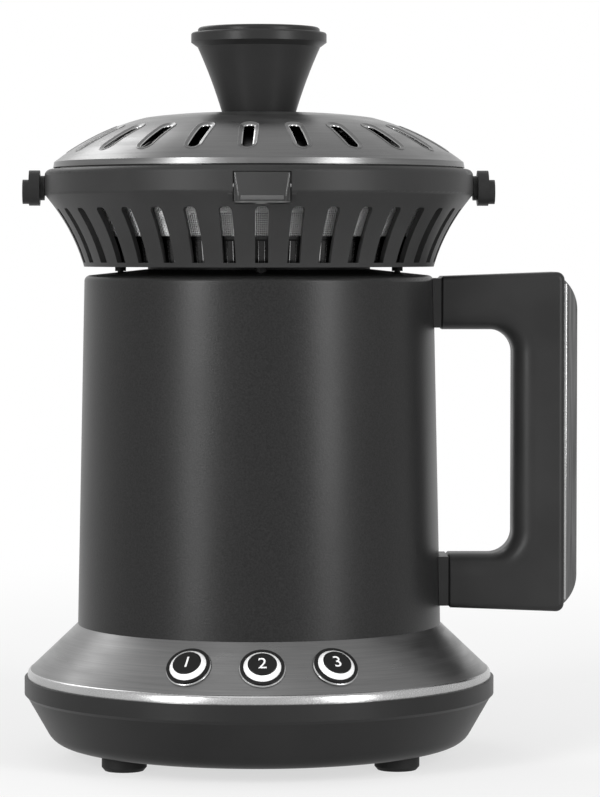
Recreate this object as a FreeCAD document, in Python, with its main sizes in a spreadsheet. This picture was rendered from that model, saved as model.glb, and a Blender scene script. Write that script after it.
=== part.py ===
"""Home coffee bean roaster, in millimetres.

Origin: on the body's axis, in the plane that the feet stand on. +Z is up, the buttons face -Y, the
handle is at +X and the lid's hinge is at +Y.
"""

import FreeCAD, Part
import math
import os

import Sketcher

doc = FreeCAD.newDocument("Roaster")
sheet = doc.addObject("Spreadsheet::Sheet", "Sizes")

# The driving dimensions, each written once, by the piece that they shape
DRIVING = {
    # Clearances
    "running_clearance": 0.05,
    "seat_clearance": 0.1,
    "body_clearance": 0.3,
    "lid_clearance": 0.5,
    "plug_clearance": 0.6,
    # Rubber feet and their screws
    "foot_height": 5.7,
    "foot_top_radius": 8.8,
    "foot_bottom_radius": 7.6,
    "foot_chamfer": 1.4,
    "foot_edge_x": 6.8,
    "foot_edge_y": 6.0,
    "foot_recess_radius": 4.0,
    "foot_recess_depth": 2.4,
    "screw_radius": 1.6,
    "screw_head_radius": 3.2,
    "screw_head_height": 1.8,
    "foot_screw_length": 14.0,
    "chassis_screw_length": 11.0,
    # Base pan
    "pan_rim_radius": 94.0,
    "pan_neck_step": 1.2,
    "pan_heel_step": 8.0,
    "pan_floor_step": 7.2,
    "pan_heel_rise": 4.8,
    "pan_heel_arc": 9.0,
    "pan_neck_rise": 18.8,
    "pan_rim_height": 6.4,
    "pan_rim_chamfer": 1.2,
    "pan_rim_wall": 1.2,
    "pan_ledge_depth": 2.1,
    "pan_wall": 2.4,
    "boss_radius": 4.5,
    "intake_count": 16,
    "intake_width": 3.0,
    "intake_inner_radius": 24.0,
    "intake_outer_radius": 38.0,
    # Base ring, a steel cone with an upright lip
    "ring_sheet": 1.0,
    "ring_lip_lean": 1.0,
    "ring_lip_height": 5.3,
    "ring_flange_width": 6.0,
    # Body shell
    "body_bottom_z": 53.5,
    "body_bottom_radius": 72.6,
    "body_top_radius": 69.7,
    "body_side_height": 136.8,
    "body_corner_radius": 2.4,
    "body_corner_rise": 2.3,
    "body_corner_run": 2.1,
    "body_top_rise": 2.4,
    "body_sheet": 1.2,
    "body_opening_radius": 44.7,
    # Collector's seat on the body
    "seat_z": 196.0,
    "collar_flange_radius": 49.0,
    "collar_flange_height": 2.0,
    "bumper_circle_radius": 55.3,
    "bumper_radius": 2.2,
    "bumper_stem_radius": 1.2,
    "bumper_stem_length": 4.0,
    "bumper_count": 4,
    # Roasting chamber
    "chamber_radius": 38.0,
    "chamber_sheet": 0.8,
    "chamber_flange_radius": 43.3,
    "chamber_bottom_z": 88.0,
    "chamber_heel": 5.0,
    "chamber_cone_radius": 22.0,
    "chamber_cone_height": 10.0,
    "louvre_count": 24,
    "louvre_width": 1.6,
    "louvre_rise": 6.0,
    "louvre_height": 11.0,
    # Chassis, motor and fan
    "chassis_z": 36.0,
    "chassis_thickness": 2.0,
    "chassis_length": 120.0,
    "chassis_width": 94.0,
    "inlet_count": 8,
    "inlet_radius": 5.5,
    "inlet_circle_radius": 27.0,
    "shaft_radius": 1.5,
    "shaft_bottom_z": 9.4,
    "motor_radius": 18.0,
    "motor_length": 25.0,
    "motor_sheet": 1.2,
    "rotor_radius": 12.0,
    "rotor_length": 14.0,
    "rotor_rise": 5.0,
    "motor_screw_radius": 1.2,
    "motor_screw_head_radius": 2.4,
    "motor_screw_head_height": 1.5,
    "motor_screw_length": 5.0,
    "motor_screw_offset": 12.0,
    "impeller_radius": 38.0,
    "impeller_disc": 1.4,
    "impeller_rise": 3.0,
    "impeller_height": 13.0,
    "impeller_hub_radius": 5.0,
    "impeller_hub_height": 11.0,
    "blade_count": 12,
    "blade_thickness": 1.2,
    "blade_inner_radius": 12.0,
    "fan_housing_radius": 46.0,
    "fan_housing_wall": 1.6,
    "fan_housing_height": 23.0,
    "fan_housing_flange_radius": 62.0,
    "fan_housing_mouth_radius": 40.0,
    # Heater and air guide
    "heater_board_half": 50.0,
    "heater_board_thickness": 1.2,
    "heater_board_height": 18.0,
    "coil_wire_radius": 1.2,
    "coil_inner_radius": 16.0,
    "coil_pitch": 12.0,
    "coil_count": 3,
    "guide_radius": 52.0,
    "guide_sheet": 0.8,
    "guide_height": 49.0,
    "shield_radius": 60.0,
    "shield_sheet": 0.6,
    "shield_height": 121.0,
    "thermostat_radius": 6.0,
    "thermostat_length": 4.5,
    "thermostat_rise": 14.0,
    "fuse_radius": 1.8,
    "fuse_length": 14.0,
    "fuse_rise": 31.0,
    # Control board
    "board_length": 44.0,
    "board_width": 34.0,
    "board_thickness": 1.6,
    "board_front_y": 25.0,
    "board_post_radius": 2.5,
    "board_post_height": 4.0,
    "board_post_inset": 4.0,
    "capacitor_radius": 4.5,
    "capacitor_height": 12.0,
    "relay_length": 14.0,
    "relay_width": 10.0,
    "relay_height": 11.0,
    # Cord gland
    "gland_radius": 5.0,
    "gland_bore_radius": 3.2,
    "gland_flange_radius": 7.5,
    "gland_flange_thickness": 2.0,
    "gland_setback": 18.0,
    "gland_length": 17.6,
    "gland_z": 18.0,
    # Push buttons on the cone, each turned about its own axis
    "button_azimuth": 19.8,
    "button_down_slope": 13.2,
    "bezel_radius": 8.5,
    "bezel_thickness": 1.2,
    "barrel_radius": 7.6,
    "barrel_bore_radius": 5.8,
    "barrel_depth": 14.0,
    "light_ring_radius": 7.15,
    "light_ring_wall": 1.35,
    "light_ring_height": 1.2,
    "bezel_floor": 0.3,
    "cap_radius": 5.5,
    "cap_proud": 1.5,
    "cap_depth": 4.0,
    "cap_edge": 0.6,
    "cap_stem_radius": 2.0,
    "cap_stem_length": 4.0,
    "button_travel": 1.5,
    "button_spring_wall": 1.2,
    "nut_width": 18.0,
    "nut_thickness": 3.0,
    "nut_gap": 0.6,
    "switch_height": 4.0,
    "switch_plunger_radius": 1.5,
    # Handle
    "handle_width": 26.0,
    "arm_height": 21.2,
    "upper_arm_top_z": 192.2,
    "upper_arm_start_x": 72.2,
    "lower_arm_bottom_z": 60.2,
    "lower_arm_start_x": 75.2,
    "grip_inner_x": 101.2,
    "grip_outer_x": 121.4,
    "arm_rise": 1.7,
    "handle_inner_corner": 9.2,
    "handle_outer_corner": 3.2,
    "handle_inner_round": 8.6,
    "arm_end_chamfer": 0.8,
    "handle_outer_round": 2.4,
    "handle_collar_inset": 0.8,
    "handle_screw_radius": 1.8,
    "handle_screw_head_radius": 3.4,
    "handle_screw_head_height": 2.0,
    "handle_screw_length": 20.0,
    "trim_thickness": 5.1,
    "trim_width": 21.0,
    "trim_end_run": 11.4,
    "trim_arc": 16.0,
    # Chaff collector's skirt
    "skirt_bottom_radius": 69.8,
    "skirt_flank_height": 24.9,
    "skirt_flank_run": 12.6,
    "skirt_flank_arc": 72.8,
    "skirt_wall": 2.4,
    "band_radius": 85.4,
    "band_bottom_rise": 29.3,
    "band_height": 6.8,
    "band_corner": 1.6,
    "skirt_corner_run": 0.35,
    "skirt_corner_rise": 1.0,
    "shoulder_arc": 2.6,
    "rim_height": 2.9,
    "rim_thickness": 2.4,
    "mouth_radius": 80.0,
    "slot_count": 36,
    "slot_width": 5.0,
    "slot_rise": 1.7,
    "slot_height": 21.3,
    "slot_corner": 1.6,
    # Chaff basin, screen and flue
    "basin_sheet": 1.2,
    "basin_radius": 66.9,
    "basin_flare": 2.2,
    "basin_height": 10.5,
    "screen_sheet": 0.6,
    "screen_height": 14.3,
    "screen_run": 7.2,
    "screen_flange_radius": 79.0,
    "flue_wall": 1.0,
    "flue_plug_depth": 10.0,
    "flue_flange_radius": 41.0,
    "flue_neck_rise": 6.0,
    "flue_top_rise": 20.0,
    "flue_top_radius": 27.0,
    # Side lugs
    "lug_z": 227.3,
    "lug_neck_radius": 4.9,
    "lug_neck_length": 1.8,
    "lug_flange_radius": 7.05,
    "lug_flange_thickness": 4.3,
    "lug_cap_radius": 4.85,
    "lug_cap_thickness": 2.6,
    "lug_cap_drop": 1.5,
    "lug_stud_radius": 1.6,
    # Front latch
    "latch_window_width": 22.0,
    "latch_window_bottom": 24.0,
    "latch_window_height": 12.2,
    "latch_slit": 1.0,
    "latch_top_width": 21.2,
    "latch_bottom_width": 18.4,
    "latch_thickness": 2.2,
    "latch_proud": 0.6,
    "latch_pin_radius": 1.0,
    "latch_pin_z": 227.0,
    "latch_pin_inset": 3.4,
    "latch_hub_radius": 2.2,
    "latch_hub_inner": 4.5,
    "latch_hub_outer": 8.5,
    "latch_nose_half": 3.2,
    "latch_nose_bottom": 229.8,
    "latch_nose_height": 1.6,
    "latch_cheek_thickness": 2.0,
    "latch_cheek_bottom": 223.4,
    "latch_cheek_height": 7.4,
    "latch_spring_wall": 0.5,
    "latch_spring_half": 3.6,
    # Lid
    "lid_z": 235.3,
    "lid_radius": 82.0,
    "lid_rim_height": 2.2,
    "lid_rim_taper": 0.4,
    "lid_sheet": 0.8,
    "plateau_radius": 46.0,
    "plateau_z": 255.0,
    "dome_arc": 96.0,
    "plateau_arc": 181.0,
    "knob_seat_radius": 14.6,
    "knob_seat_z": 256.9,
    "lid_slot_count": 22,
    "lid_slot_width": 7.0,
    "lid_slot_inner": 57.3,
    "lid_slot_outer": 76.0,
    "lid_slot_corner": 1.8,
    "lid_slot_phase": 4.2,
    "liner_sheet": 0.8,
    "liner_skirt_depth": 5.8,
    "liner_edge_z": 235.2,
    "liner_plate_radius": 44.0,
    "liner_plate_z": 251.5,
    "liner_slot_width": 3.0,
    "liner_slot_inner": 52.0,
    "liner_slot_outer": 72.0,
    # Lid's hinge
    "hinge_y": 88.0,
    "hinge_z": 236.6,
    "hinge_pin_radius": 1.25,
    "hinge_barrel_radius": 3.0,
    "hinge_barrel_half": 8.7,
    "hinge_ear_thickness": 3.0,
    "hinge_base_bottom": 224.0,
    "hinge_base_height": 8.0,
    "hinge_plate": 1.6,
    "leaf_sheet": 1.2,
    "leaf_half": 7.0,
    "leaf_bend_inset": 1.8,
    "leaf_bend_rise": 1.65,
    "leaf_top_inset": 12.9,
    "leaf_top_rise": 9.4,
    "rivet_radius": 1.2,
    "rivet_head_radius": 2.2,
    "rivet_head_height": 0.8,
    "rivet_offset": 4.2,
    "bracket_rivet_offset": 9.5,
    "bracket_rivet_z": 228.2,
    # Knob
    "knob_neck_rise": 26.4,
    "knob_neck_radius": 24.4,
    "knob_flank_arc": 195.0,
    "knob_radius": 27.0,
    "knob_edge_rise": 1.9,
    "knob_edge_height": 3.9,
    "knob_edge_round": 0.9,
    "knob_recess": 1.0,
    "knob_cap_radius": 24.3,
    "knob_cap_thickness": 3.1,
    "knob_cap_round": 1.2,
    "knob_screw_radius": 1.5,
    "knob_screw_head_radius": 3.5,
    "knob_screw_head_height": 1.8,
    "knob_screw_bite": 12.0,
    "knob_washer_radius": 7.0,
    "knob_washer_thickness": 0.8,
    "knob_spacer_radius": 5.0,
}


class Measure:
    """A size with both its value and the formula that the sheet's users read."""

    def __init__(self, value, text):
        self.value = float(value)
        self.text = text

    def joined(self, sign, other, swapped=False):
        other = other if isinstance(other, Measure) else Measure(other, repr(float(other)))
        first, second = (other, self) if swapped else (self, other)
        worked = {
            "+": lambda a, b: a + b,
            "-": lambda a, b: a - b,
            "*": lambda a, b: a * b,
            "/": lambda a, b: a / b,
        }[sign](first.value, second.value)
        return Measure(worked, f"({first.text} {sign} {second.text})")

    def __add__(self, other):
        return self.joined("+", other)

    def __radd__(self, other):
        return self.joined("+", other, swapped=True)

    def __sub__(self, other):
        return self.joined("-", other)

    def __rsub__(self, other):
        return self.joined("-", other, swapped=True)

    def __mul__(self, other):
        return self.joined("*", other)

    def __rmul__(self, other):
        return self.joined("*", other, swapped=True)

    def __truediv__(self, other):
        return self.joined("/", other)

    def __neg__(self):
        return self.joined("-", 0, swapped=True)


def root(measure):
    return Measure(math.sqrt(measure.value), f"sqrt({measure.text})")


def sine(degrees):
    return Measure(math.sin(math.radians(degrees.value)), f"sin({degrees.text})")


def cosine(degrees):
    return Measure(math.cos(math.radians(degrees.value)), f"cos({degrees.text})")


class Sizes:
    """The sheet's sizes by name."""


size = Sizes()
for row, (alias, value) in enumerate(DRIVING.items(), start=1):
    sheet.set(f"A{row}", alias)
    sheet.set(f"B{row}", str(value))
    sheet.setAlias(f"B{row}", alias)
    setattr(size, alias, Measure(value, f"Sizes.{alias}"))
doc.recompute()

ZERO = Measure(0, "0")
X_AXIS = FreeCAD.Vector(1, 0, 0)
Y_AXIS = FreeCAD.Vector(0, 1, 0)
Z_AXIS = FreeCAD.Vector(0, 0, 1)
FULL_TURN = 360
nodes = {}


def node(label, item):
    """Registers a finished sub-part under the name of its file."""
    item.Label = label
    nodes[label] = item
    return item


def bind(item, field, measure):
    item.setExpression(field, measure.text)


def place(item, x=ZERO, y=ZERO, z=ZERO, axis=Z_AXIS, degrees=0.0):
    """Puts an item at a point worked out from the sizes, turned about one axis."""
    item.Placement = FreeCAD.Placement(
        FreeCAD.Vector(x.value, y.value, z.value), FreeCAD.Rotation(axis, degrees)
    )
    for letter, measure in zip("xyz", (x, y, z)):
        bind(item, f"Placement.Base.{letter}", measure)
    return item


def plane_of(body, role):
    return next(f for f in body.Origin.OriginFeatures if f.Role == role)


def new_body(name):
    return doc.addObject("PartDesign::Body", name)


def new_sketch(body, role, name):
    sketch = body.newObject("Sketcher::SketchObject", name)
    sketch.AttachmentSupport = [(plane_of(body, role), "")]
    sketch.MapMode = "FlatFace"
    return sketch


def fix_point(sketch, geometry, vertex, u, v):
    """Holds one point of a sketch at its two distances from the origin."""
    for kind, axis, measure in (("DistanceX", -2, u), ("DistanceY", -1, v)):
        if measure is ZERO:
            sketch.addConstraint(Sketcher.Constraint("PointOnObject", geometry, vertex, axis))
            continue
        rule = Sketcher.Constraint(kind, -1, 1, geometry, vertex, measure.value)
        number = sketch.addConstraint(rule)
        bind(sketch, f"Constraints[{number}]", measure)


def arc_between(start, end, radius, left):
    """The short arc from start to end, and whether it runs against the clock."""
    along = end - start
    middle = (start + end) * 0.5
    rise = math.sqrt(max(radius**2 - (along.Length / 2) ** 2, 0.0))
    side = FreeCAD.Vector(-along.y, along.x, 0).normalize()
    centre = middle + side * (rise if left else -rise)
    first, last = (start, end) if left else (end, start)
    angles = [math.atan2(p.y - centre.y, p.x - centre.x) for p in (first, last)]
    if angles[1] < angles[0]:
        angles[1] += 2 * math.pi
    return Part.ArcOfCircle(Part.Circle(centre, Z_AXIS, radius), *angles)


def draw_loop(sketch, points):
    """A closed outline. A point is (u, v), or (u, v, radius, side) where an arc leads on to the next.

    The side is "left" or "right": where the arc's centre lies for someone walking the outline.
    """
    places = [FreeCAD.Vector(p[0].value, p[1].value, 0) for p in points]
    drawn = []
    for i, point in enumerate(points):
        start, end = places[i], places[(i + 1) % len(points)]
        if len(point) == 2:
            number = sketch.addGeometry(Part.LineSegment(start, end), False)
            drawn.append((number, 1, 2))
            continue
        left = point[3] == "left"
        number = sketch.addGeometry(arc_between(start, end, point[2].value, left), False)
        drawn.append((number, 1, 2) if left else (number, 2, 1))
        rule = sketch.addConstraint(Sketcher.Constraint("Radius", number, point[2].value))
        bind(sketch, f"Constraints[{rule}]", point[2])
    for i, (number, _, tail) in enumerate(drawn):
        following, head, _ = drawn[(i + 1) % len(drawn)]
        sketch.addConstraint(Sketcher.Constraint("Coincident", number, tail, following, head))
    for point, (number, head, _) in zip(points, drawn):
        fix_point(sketch, number, head, point[0], point[1])


def draw_circle(sketch, u, v, radius):
    circle = Part.Circle(FreeCAD.Vector(u.value, v.value, 0), Z_AXIS, radius.value)
    number = sketch.addGeometry(circle, False)
    rule = sketch.addConstraint(Sketcher.Constraint("Radius", number, radius.value))
    bind(sketch, f"Constraints[{rule}]", radius)
    fix_point(sketch, number, 3, u, v)


def turned(name, points):
    """A piece turned on a lathe: its half section is drawn as (radius, height) points."""
    body = new_body(name)
    sketch = new_sketch(body, "XZ_Plane", f"{name}_section")
    draw_loop(sketch, points)
    turn = body.newObject("PartDesign::Revolution", f"{name}_turn")
    turn.Profile = sketch
    turn.ReferenceAxis = (sketch, ["V_Axis"])
    turn.Angle = FULL_TURN
    body.Tip = turn
    return body


def padded(name, role, points, depth):
    """A flat outline given an even thickness on both sides of its plane."""
    body = new_body(name)
    sketch = new_sketch(body, role, f"{name}_outline")
    draw_loop(sketch, points)
    pad = body.newObject("PartDesign::Pad", f"{name}_pad")
    pad.Profile = sketch
    pad.Midplane = True
    bind(pad, "Length", depth)
    body.Tip = pad
    return body


def pocket(body, name, role, depth, start=ZERO, loop=None, circle=None):
    """A cut outwards or upwards, from so far off the body's middle plane to the depth given."""
    sketch = new_sketch(body, role, f"{name}_shape")
    sketch.AttachmentOffset = FreeCAD.Placement(Z_AXIS * start.value, FreeCAD.Rotation())
    bind(sketch, "AttachmentOffset.Base.z", start)
    if loop:
        draw_loop(sketch, loop)
    if circle:
        draw_circle(sketch, *circle)
    cut = body.newObject("PartDesign::Pocket", name)
    cut.Profile = sketch
    cut.Type = 0
    cut.Reversed = True
    bind(cut, "Length", depth)
    body.Tip = cut
    return cut


def ring_of(body, feature, name, count):
    """Repeats one feature evenly around the body's axis."""
    doc.recompute()
    around = body.newObject("PartDesign::PolarPattern", name)
    around.Originals = [feature]
    around.Axis = (plane_of(body, "Z_Axis"), [""])
    around.Angle = FULL_TURN
    bind(around, "Occurrences", count)
    body.Tip = around
    return around


def box(name, x, y, z, length, width, height):
    """A block from its low corner."""
    block = doc.addObject("Part::Box", name)
    bind(block, "Length", length)
    bind(block, "Width", width)
    bind(block, "Height", height)
    return place(block, x, y, z)


def rod(name, radius, length, x=ZERO, y=ZERO, z=ZERO, along=Z_AXIS):
    """A round rod from one end, along a direction."""
    item = doc.addObject("Part::Cylinder", name)
    bind(item, "Radius", radius)
    bind(item, "Height", length)
    turn = FreeCAD.Rotation(Z_AXIS, along)
    return place(item, x, y, z, turn.Axis, math.degrees(turn.Angle))


def cut(name, base, tools):
    """One piece with others taken out of it."""
    tool = tools[0] if len(tools) == 1 else fuse(f"{name}_tools", tools)
    item = doc.addObject("Part::Cut", name)
    item.Base = base
    item.Tool = tool
    return item


def fuse(name, pieces):
    item = doc.addObject("Part::MultiFuse", name)
    item.Shapes = pieces
    return item


def group(name, pieces):
    """Like pieces that share one node as separate solids."""
    item = doc.addObject("Part::Compound", name)
    item.Links = pieces
    return item


def corners(x, y):
    """The four corners of a rectangle about the axis."""
    return [(x, y), (-x, y), (-x, -y), (x, -y)]


# Heights and lines that several pieces share
pan_bottom = size.foot_height
pan_top = pan_bottom + size.pan_wall
rim_bottom = pan_bottom + size.pan_neck_rise + size.pan_rim_chamfer
rim_top = rim_bottom + size.pan_rim_height
ledge_z = rim_top - size.pan_ledge_depth
pan_neck_radius = size.pan_rim_radius - size.pan_neck_step
pan_heel_radius = pan_neck_radius - size.pan_heel_step
pan_floor_radius = pan_heel_radius - size.pan_floor_step
ledge_outer = size.pan_rim_radius - size.pan_rim_wall
lip_radius = ledge_outer - size.body_clearance
lip_top_radius = ledge_outer - size.ring_lip_lean
cone_run = lip_top_radius - size.body_bottom_radius
cone_rise = size.body_bottom_z - ledge_z - size.ring_lip_height
cone_slope = root(cone_run * cone_run + cone_rise * cone_rise)
chassis_top = size.chassis_z + size.chassis_thickness
housing_top = chassis_top + size.fan_housing_height
body_side_top = size.body_bottom_z + size.body_side_height
shoulder_radius = size.body_top_radius - size.body_corner_run
shoulder_z = body_side_top + size.body_corner_rise
top_run = shoulder_radius - size.body_opening_radius


def top_plate_z(radius):
    """Height of the body's sloping top plate at a radius."""
    return shoulder_z + size.body_top_rise * (shoulder_radius - radius) / top_run


def body_radius_at(height):
    """Outer radius of the tapered body at a height."""
    taper = (size.body_bottom_radius - size.body_top_radius) / size.body_side_height
    return size.body_bottom_radius - taper * (height - size.body_bottom_z)


screw_hole_radius = size.screw_radius + size.running_clearance
shaft_hole_radius = size.shaft_radius + size.running_clearance


# Rubber feet, each held up into the pan by a screw from below
def foot(i, x, y):
    section = [
        (screw_hole_radius, size.foot_height),
        (size.foot_top_radius, size.foot_height),
        (size.foot_top_radius, size.foot_chamfer),
        (size.foot_bottom_radius, ZERO),
        (size.foot_recess_radius, ZERO),
        (size.foot_recess_radius, size.foot_recess_depth),
        (screw_hole_radius, size.foot_recess_depth),
    ]
    return place(turned(f"foot_{i}", section[::-1]), x, y)


def screw_section(radius, head_radius, head_height, length):
    """Half section of a screw with its head at the bottom and its tip at the top."""
    return [
        (ZERO, ZERO),
        (head_radius, ZERO),
        (head_radius, head_height),
        (radius, head_height),
        (radius, head_height + length),
        (ZERO, head_height + length),
    ]


def screw(name, radius, head_radius, head_height, length):
    return turned(name, screw_section(radius, head_radius, head_height, length))


foot_places = corners(
    size.chassis_length / 2 - size.foot_edge_x, size.chassis_width / 2 - size.foot_edge_y
)
node("rubber_feet", group("feet", [foot(i, x, y) for i, (x, y) in enumerate(foot_places)]))
foot_screws = []
for i, (x, y) in enumerate(foot_places):
    item = screw(
        f"foot_screw_{i}", size.screw_radius, size.screw_head_radius,
        size.screw_head_height, size.foot_screw_length,
    )
    foot_screws.append(place(item, x, y, size.foot_recess_depth - size.screw_head_height))
node("foot_screws", group("foot_screw_set", foot_screws))

# Base pan: floor, flared wall and rim, with bosses, board posts, intake slots and the cord's hole
wall_lean = size.pan_wall * 1.1
pan_section = [
    (ZERO, pan_bottom),
    (pan_floor_radius, pan_bottom, size.pan_heel_arc, "left"),
    (pan_heel_radius, pan_bottom + size.pan_heel_rise),
    (pan_neck_radius, pan_bottom + size.pan_neck_rise),
    (size.pan_rim_radius, rim_bottom),
    (size.pan_rim_radius, rim_top),
    (ledge_outer, rim_top),
    (ledge_outer, ledge_z),
    (pan_neck_radius - wall_lean, ledge_z),
    (pan_neck_radius - wall_lean, pan_bottom + size.pan_neck_rise),
    (pan_heel_radius - wall_lean, pan_bottom + size.pan_heel_rise),
    (pan_floor_radius - size.pan_heel_rise / 2, pan_top),
    (ZERO, pan_top),
]
pan = turned("pan_turned", pan_section)
intake = pocket(
    pan, "intake_slot", "XY_Plane", pan_top,
    loop=[
        (size.intake_inner_radius, -size.intake_width / 2),
        (size.intake_outer_radius, -size.intake_width / 2),
        (size.intake_outer_radius, size.intake_width / 2),
        (size.intake_inner_radius, size.intake_width / 2),
    ],
)
ring_of(pan, intake, "intake_slots", size.intake_count)
boss_height = size.chassis_z - pan_top
bosses = [
    rod(f"boss_{i}", size.boss_radius, boss_height, x, y, pan_top)
    for i, (x, y) in enumerate(foot_places)
]
board_centre_y = size.board_front_y + size.board_width / 2
post_places = [
    (x, board_centre_y + y)
    for x, y in corners(
        size.board_length / 2 - size.board_post_inset, size.board_width / 2 - size.board_post_inset
    )
]
posts = [
    rod(f"board_post_{i}", size.board_post_radius, size.board_post_height, x, y, pan_top)
    for i, (x, y) in enumerate(post_places)
]
boss_holes = [
    rod(f"boss_hole_{i}", screw_hole_radius, size.chassis_z - pan_bottom, x, y, pan_bottom)
    for i, (x, y) in enumerate(foot_places)
]
gland_y = size.pan_rim_radius - size.gland_setback
gland_hole = rod(
    "gland_hole", size.gland_radius + size.seat_clearance, size.gland_length + size.pan_rim_radius,
    y=gland_y - size.gland_flange_thickness, z=size.gland_z, along=Y_AXIS,
)
pan_solid = fuse("pan_with_bosses", [pan, *bosses, *posts])
node("base_pan", cut("pan_bored", pan_solid, [*boss_holes, gland_hole]))

# Cord gland at the rear of the pan
gland = fuse("gland_body", [
    rod(
        "gland_tube", size.gland_radius, size.gland_length, y=gland_y, z=size.gland_z, along=Y_AXIS,
    ),
    rod(
        "gland_flange", size.gland_flange_radius, size.gland_flange_thickness,
        y=gland_y, z=size.gland_z, along=Y_AXIS,
    ),
])
gland_bore = rod(
    "gland_bore", size.gland_bore_radius, size.gland_length,
    y=gland_y, z=size.gland_z, along=Y_AXIS,
)
node("cord_gland", cut("gland_bored", gland, [gland_bore]))


# Push buttons: their axes stand square on the cone, in three directions
cone_share = size.button_down_slope / cone_slope
button_radius = size.body_bottom_radius + cone_run * cone_share
button_z = size.body_bottom_z - cone_rise * cone_share
lean = math.degrees(math.atan2(cone_rise.value, cone_run.value))
NAMES = ("left", "middle", "right")
AZIMUTHS = {
    "left": -size.button_azimuth,
    "middle": ZERO,
    "right": size.button_azimuth,
}


def button_part(item, side, depth):
    """Puts a piece on its button's axis, so far below the cone's surface as depth says."""
    azimuth = AZIMUTHS[side]
    inward = depth / cone_slope
    radius = button_radius - cone_rise * inward
    turn = FreeCAD.Rotation(Z_AXIS, azimuth.value) * FreeCAD.Rotation(X_AXIS, lean)
    place(item, radius * sine(azimuth), -(radius * cosine(azimuth)), button_z - cone_run * inward)
    item.Placement = FreeCAD.Placement(item.Placement.Base, turn)
    return item


# Base ring: a spun steel cone between the pan's ledge and the body
ring_section = [
    (size.body_bottom_radius - size.ring_flange_width, size.body_bottom_z),
    (size.body_bottom_radius - size.ring_flange_width, size.body_bottom_z - size.ring_sheet),
    (size.body_bottom_radius - size.ring_sheet / 2, size.body_bottom_z - size.ring_sheet),
    (lip_top_radius - size.ring_sheet, ledge_z + size.ring_lip_height - size.ring_sheet / 2),
    (lip_radius - size.ring_sheet, ledge_z),
    (lip_radius, ledge_z),
    (lip_top_radius, ledge_z + size.ring_lip_height),
    (size.body_bottom_radius, size.body_bottom_z),
]
ring_solid = turned("ring_turned", ring_section)
button_holes = [
    button_part(
        rod(f"button_hole_{side}", size.barrel_radius + size.seat_clearance, size.barrel_depth),
        side, size.barrel_depth / 2,
    )
    for side in NAMES
]
node("base_ring", cut("ring_bored", ring_solid, button_holes))

# Bezel: flange outside the cone, barrel inside it, bored for the cap
barrel_bottom = ZERO
flange_under = size.barrel_depth + size.seat_clearance
flange_top = flange_under + size.bezel_thickness
ring_floor = flange_under + size.bezel_floor
ring_top = ring_floor + size.light_ring_height
cap_top = ring_top + size.cap_proud
cap_under = flange_under - size.cap_depth
stem_bottom = cap_under - size.cap_stem_length
plunger_top = stem_bottom - size.button_travel - size.body_clearance
bezel_section = [
    (size.barrel_bore_radius, barrel_bottom),
    (size.barrel_radius, barrel_bottom),
    (size.barrel_radius, flange_under),
    (size.bezel_radius, flange_under),
    (size.bezel_radius, flange_top),
    (size.light_ring_radius + size.seat_clearance, flange_top),
    (size.light_ring_radius + size.seat_clearance, ring_floor),
    (size.barrel_bore_radius, ring_floor),
]
light_ring_section = [
    (size.light_ring_radius - size.light_ring_wall, ring_floor),
    (size.light_ring_radius, ring_floor),
    (size.light_ring_radius, ring_top),
    (size.light_ring_radius - size.light_ring_wall, ring_top),
]
cap_section = [
    (ZERO, stem_bottom),
    (size.cap_stem_radius, stem_bottom),
    (size.cap_stem_radius, cap_under),
    (size.cap_radius, cap_under),
    (size.cap_radius, cap_top - size.cap_edge, size.cap_edge, "left"),
    (size.cap_radius - size.cap_edge, cap_top),
    (ZERO, cap_top),
]
switch_section = [
    (ZERO, -size.switch_height),
    (size.barrel_radius, -size.switch_height),
    (size.barrel_radius, ZERO),
    (size.switch_plunger_radius, ZERO),
    (size.switch_plunger_radius, plunger_top),
    (ZERO, plunger_top),
]
spring_inner = size.cap_stem_radius + size.body_clearance
spring_section = [
    (spring_inner, size.body_clearance),
    (spring_inner + size.button_spring_wall, size.body_clearance),
    (spring_inner + size.button_spring_wall, cap_under - size.body_clearance),
    (spring_inner, cap_under - size.body_clearance),
]


def on_button(name, section, side):
    return button_part(turned(f"{name}_{side}", section), side, size.barrel_depth)


def nut(side):
    """A hexagon nut behind the cone."""
    prism = doc.addObject("Part::Prism", f"nut_blank_{side}")
    prism.Polygon = 6
    bind(prism, "Circumradius", size.nut_width / root(Measure(3, "3")))
    bind(prism, "Height", size.nut_thickness)
    under = size.ring_sheet + size.nut_gap + size.nut_thickness
    bore = rod(f"nut_bore_{side}", size.barrel_radius + size.seat_clearance, size.nut_thickness)
    return cut(f"nut_{side}", button_part(prism, side, under), [button_part(bore, side, under)])


node("button_bezels", group("bezel_set", [on_button("bezel", bezel_section, s) for s in NAMES]))
node("button_light_rings", group("light_ring_set", [
    on_button("light_ring", light_ring_section, s) for s in NAMES
]))
node("button_nuts", group("nut_set", [nut(s) for s in NAMES]))
node("button_switches", group("switch_set", [on_button("switch", switch_section, s) for s in NAMES]))
for side in NAMES:
    node(f"button_cap_{side}", on_button("cap", cap_section, side))
node("button_springs", group("spring_set", [on_button("spring", spring_section, s) for s in NAMES]))

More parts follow.
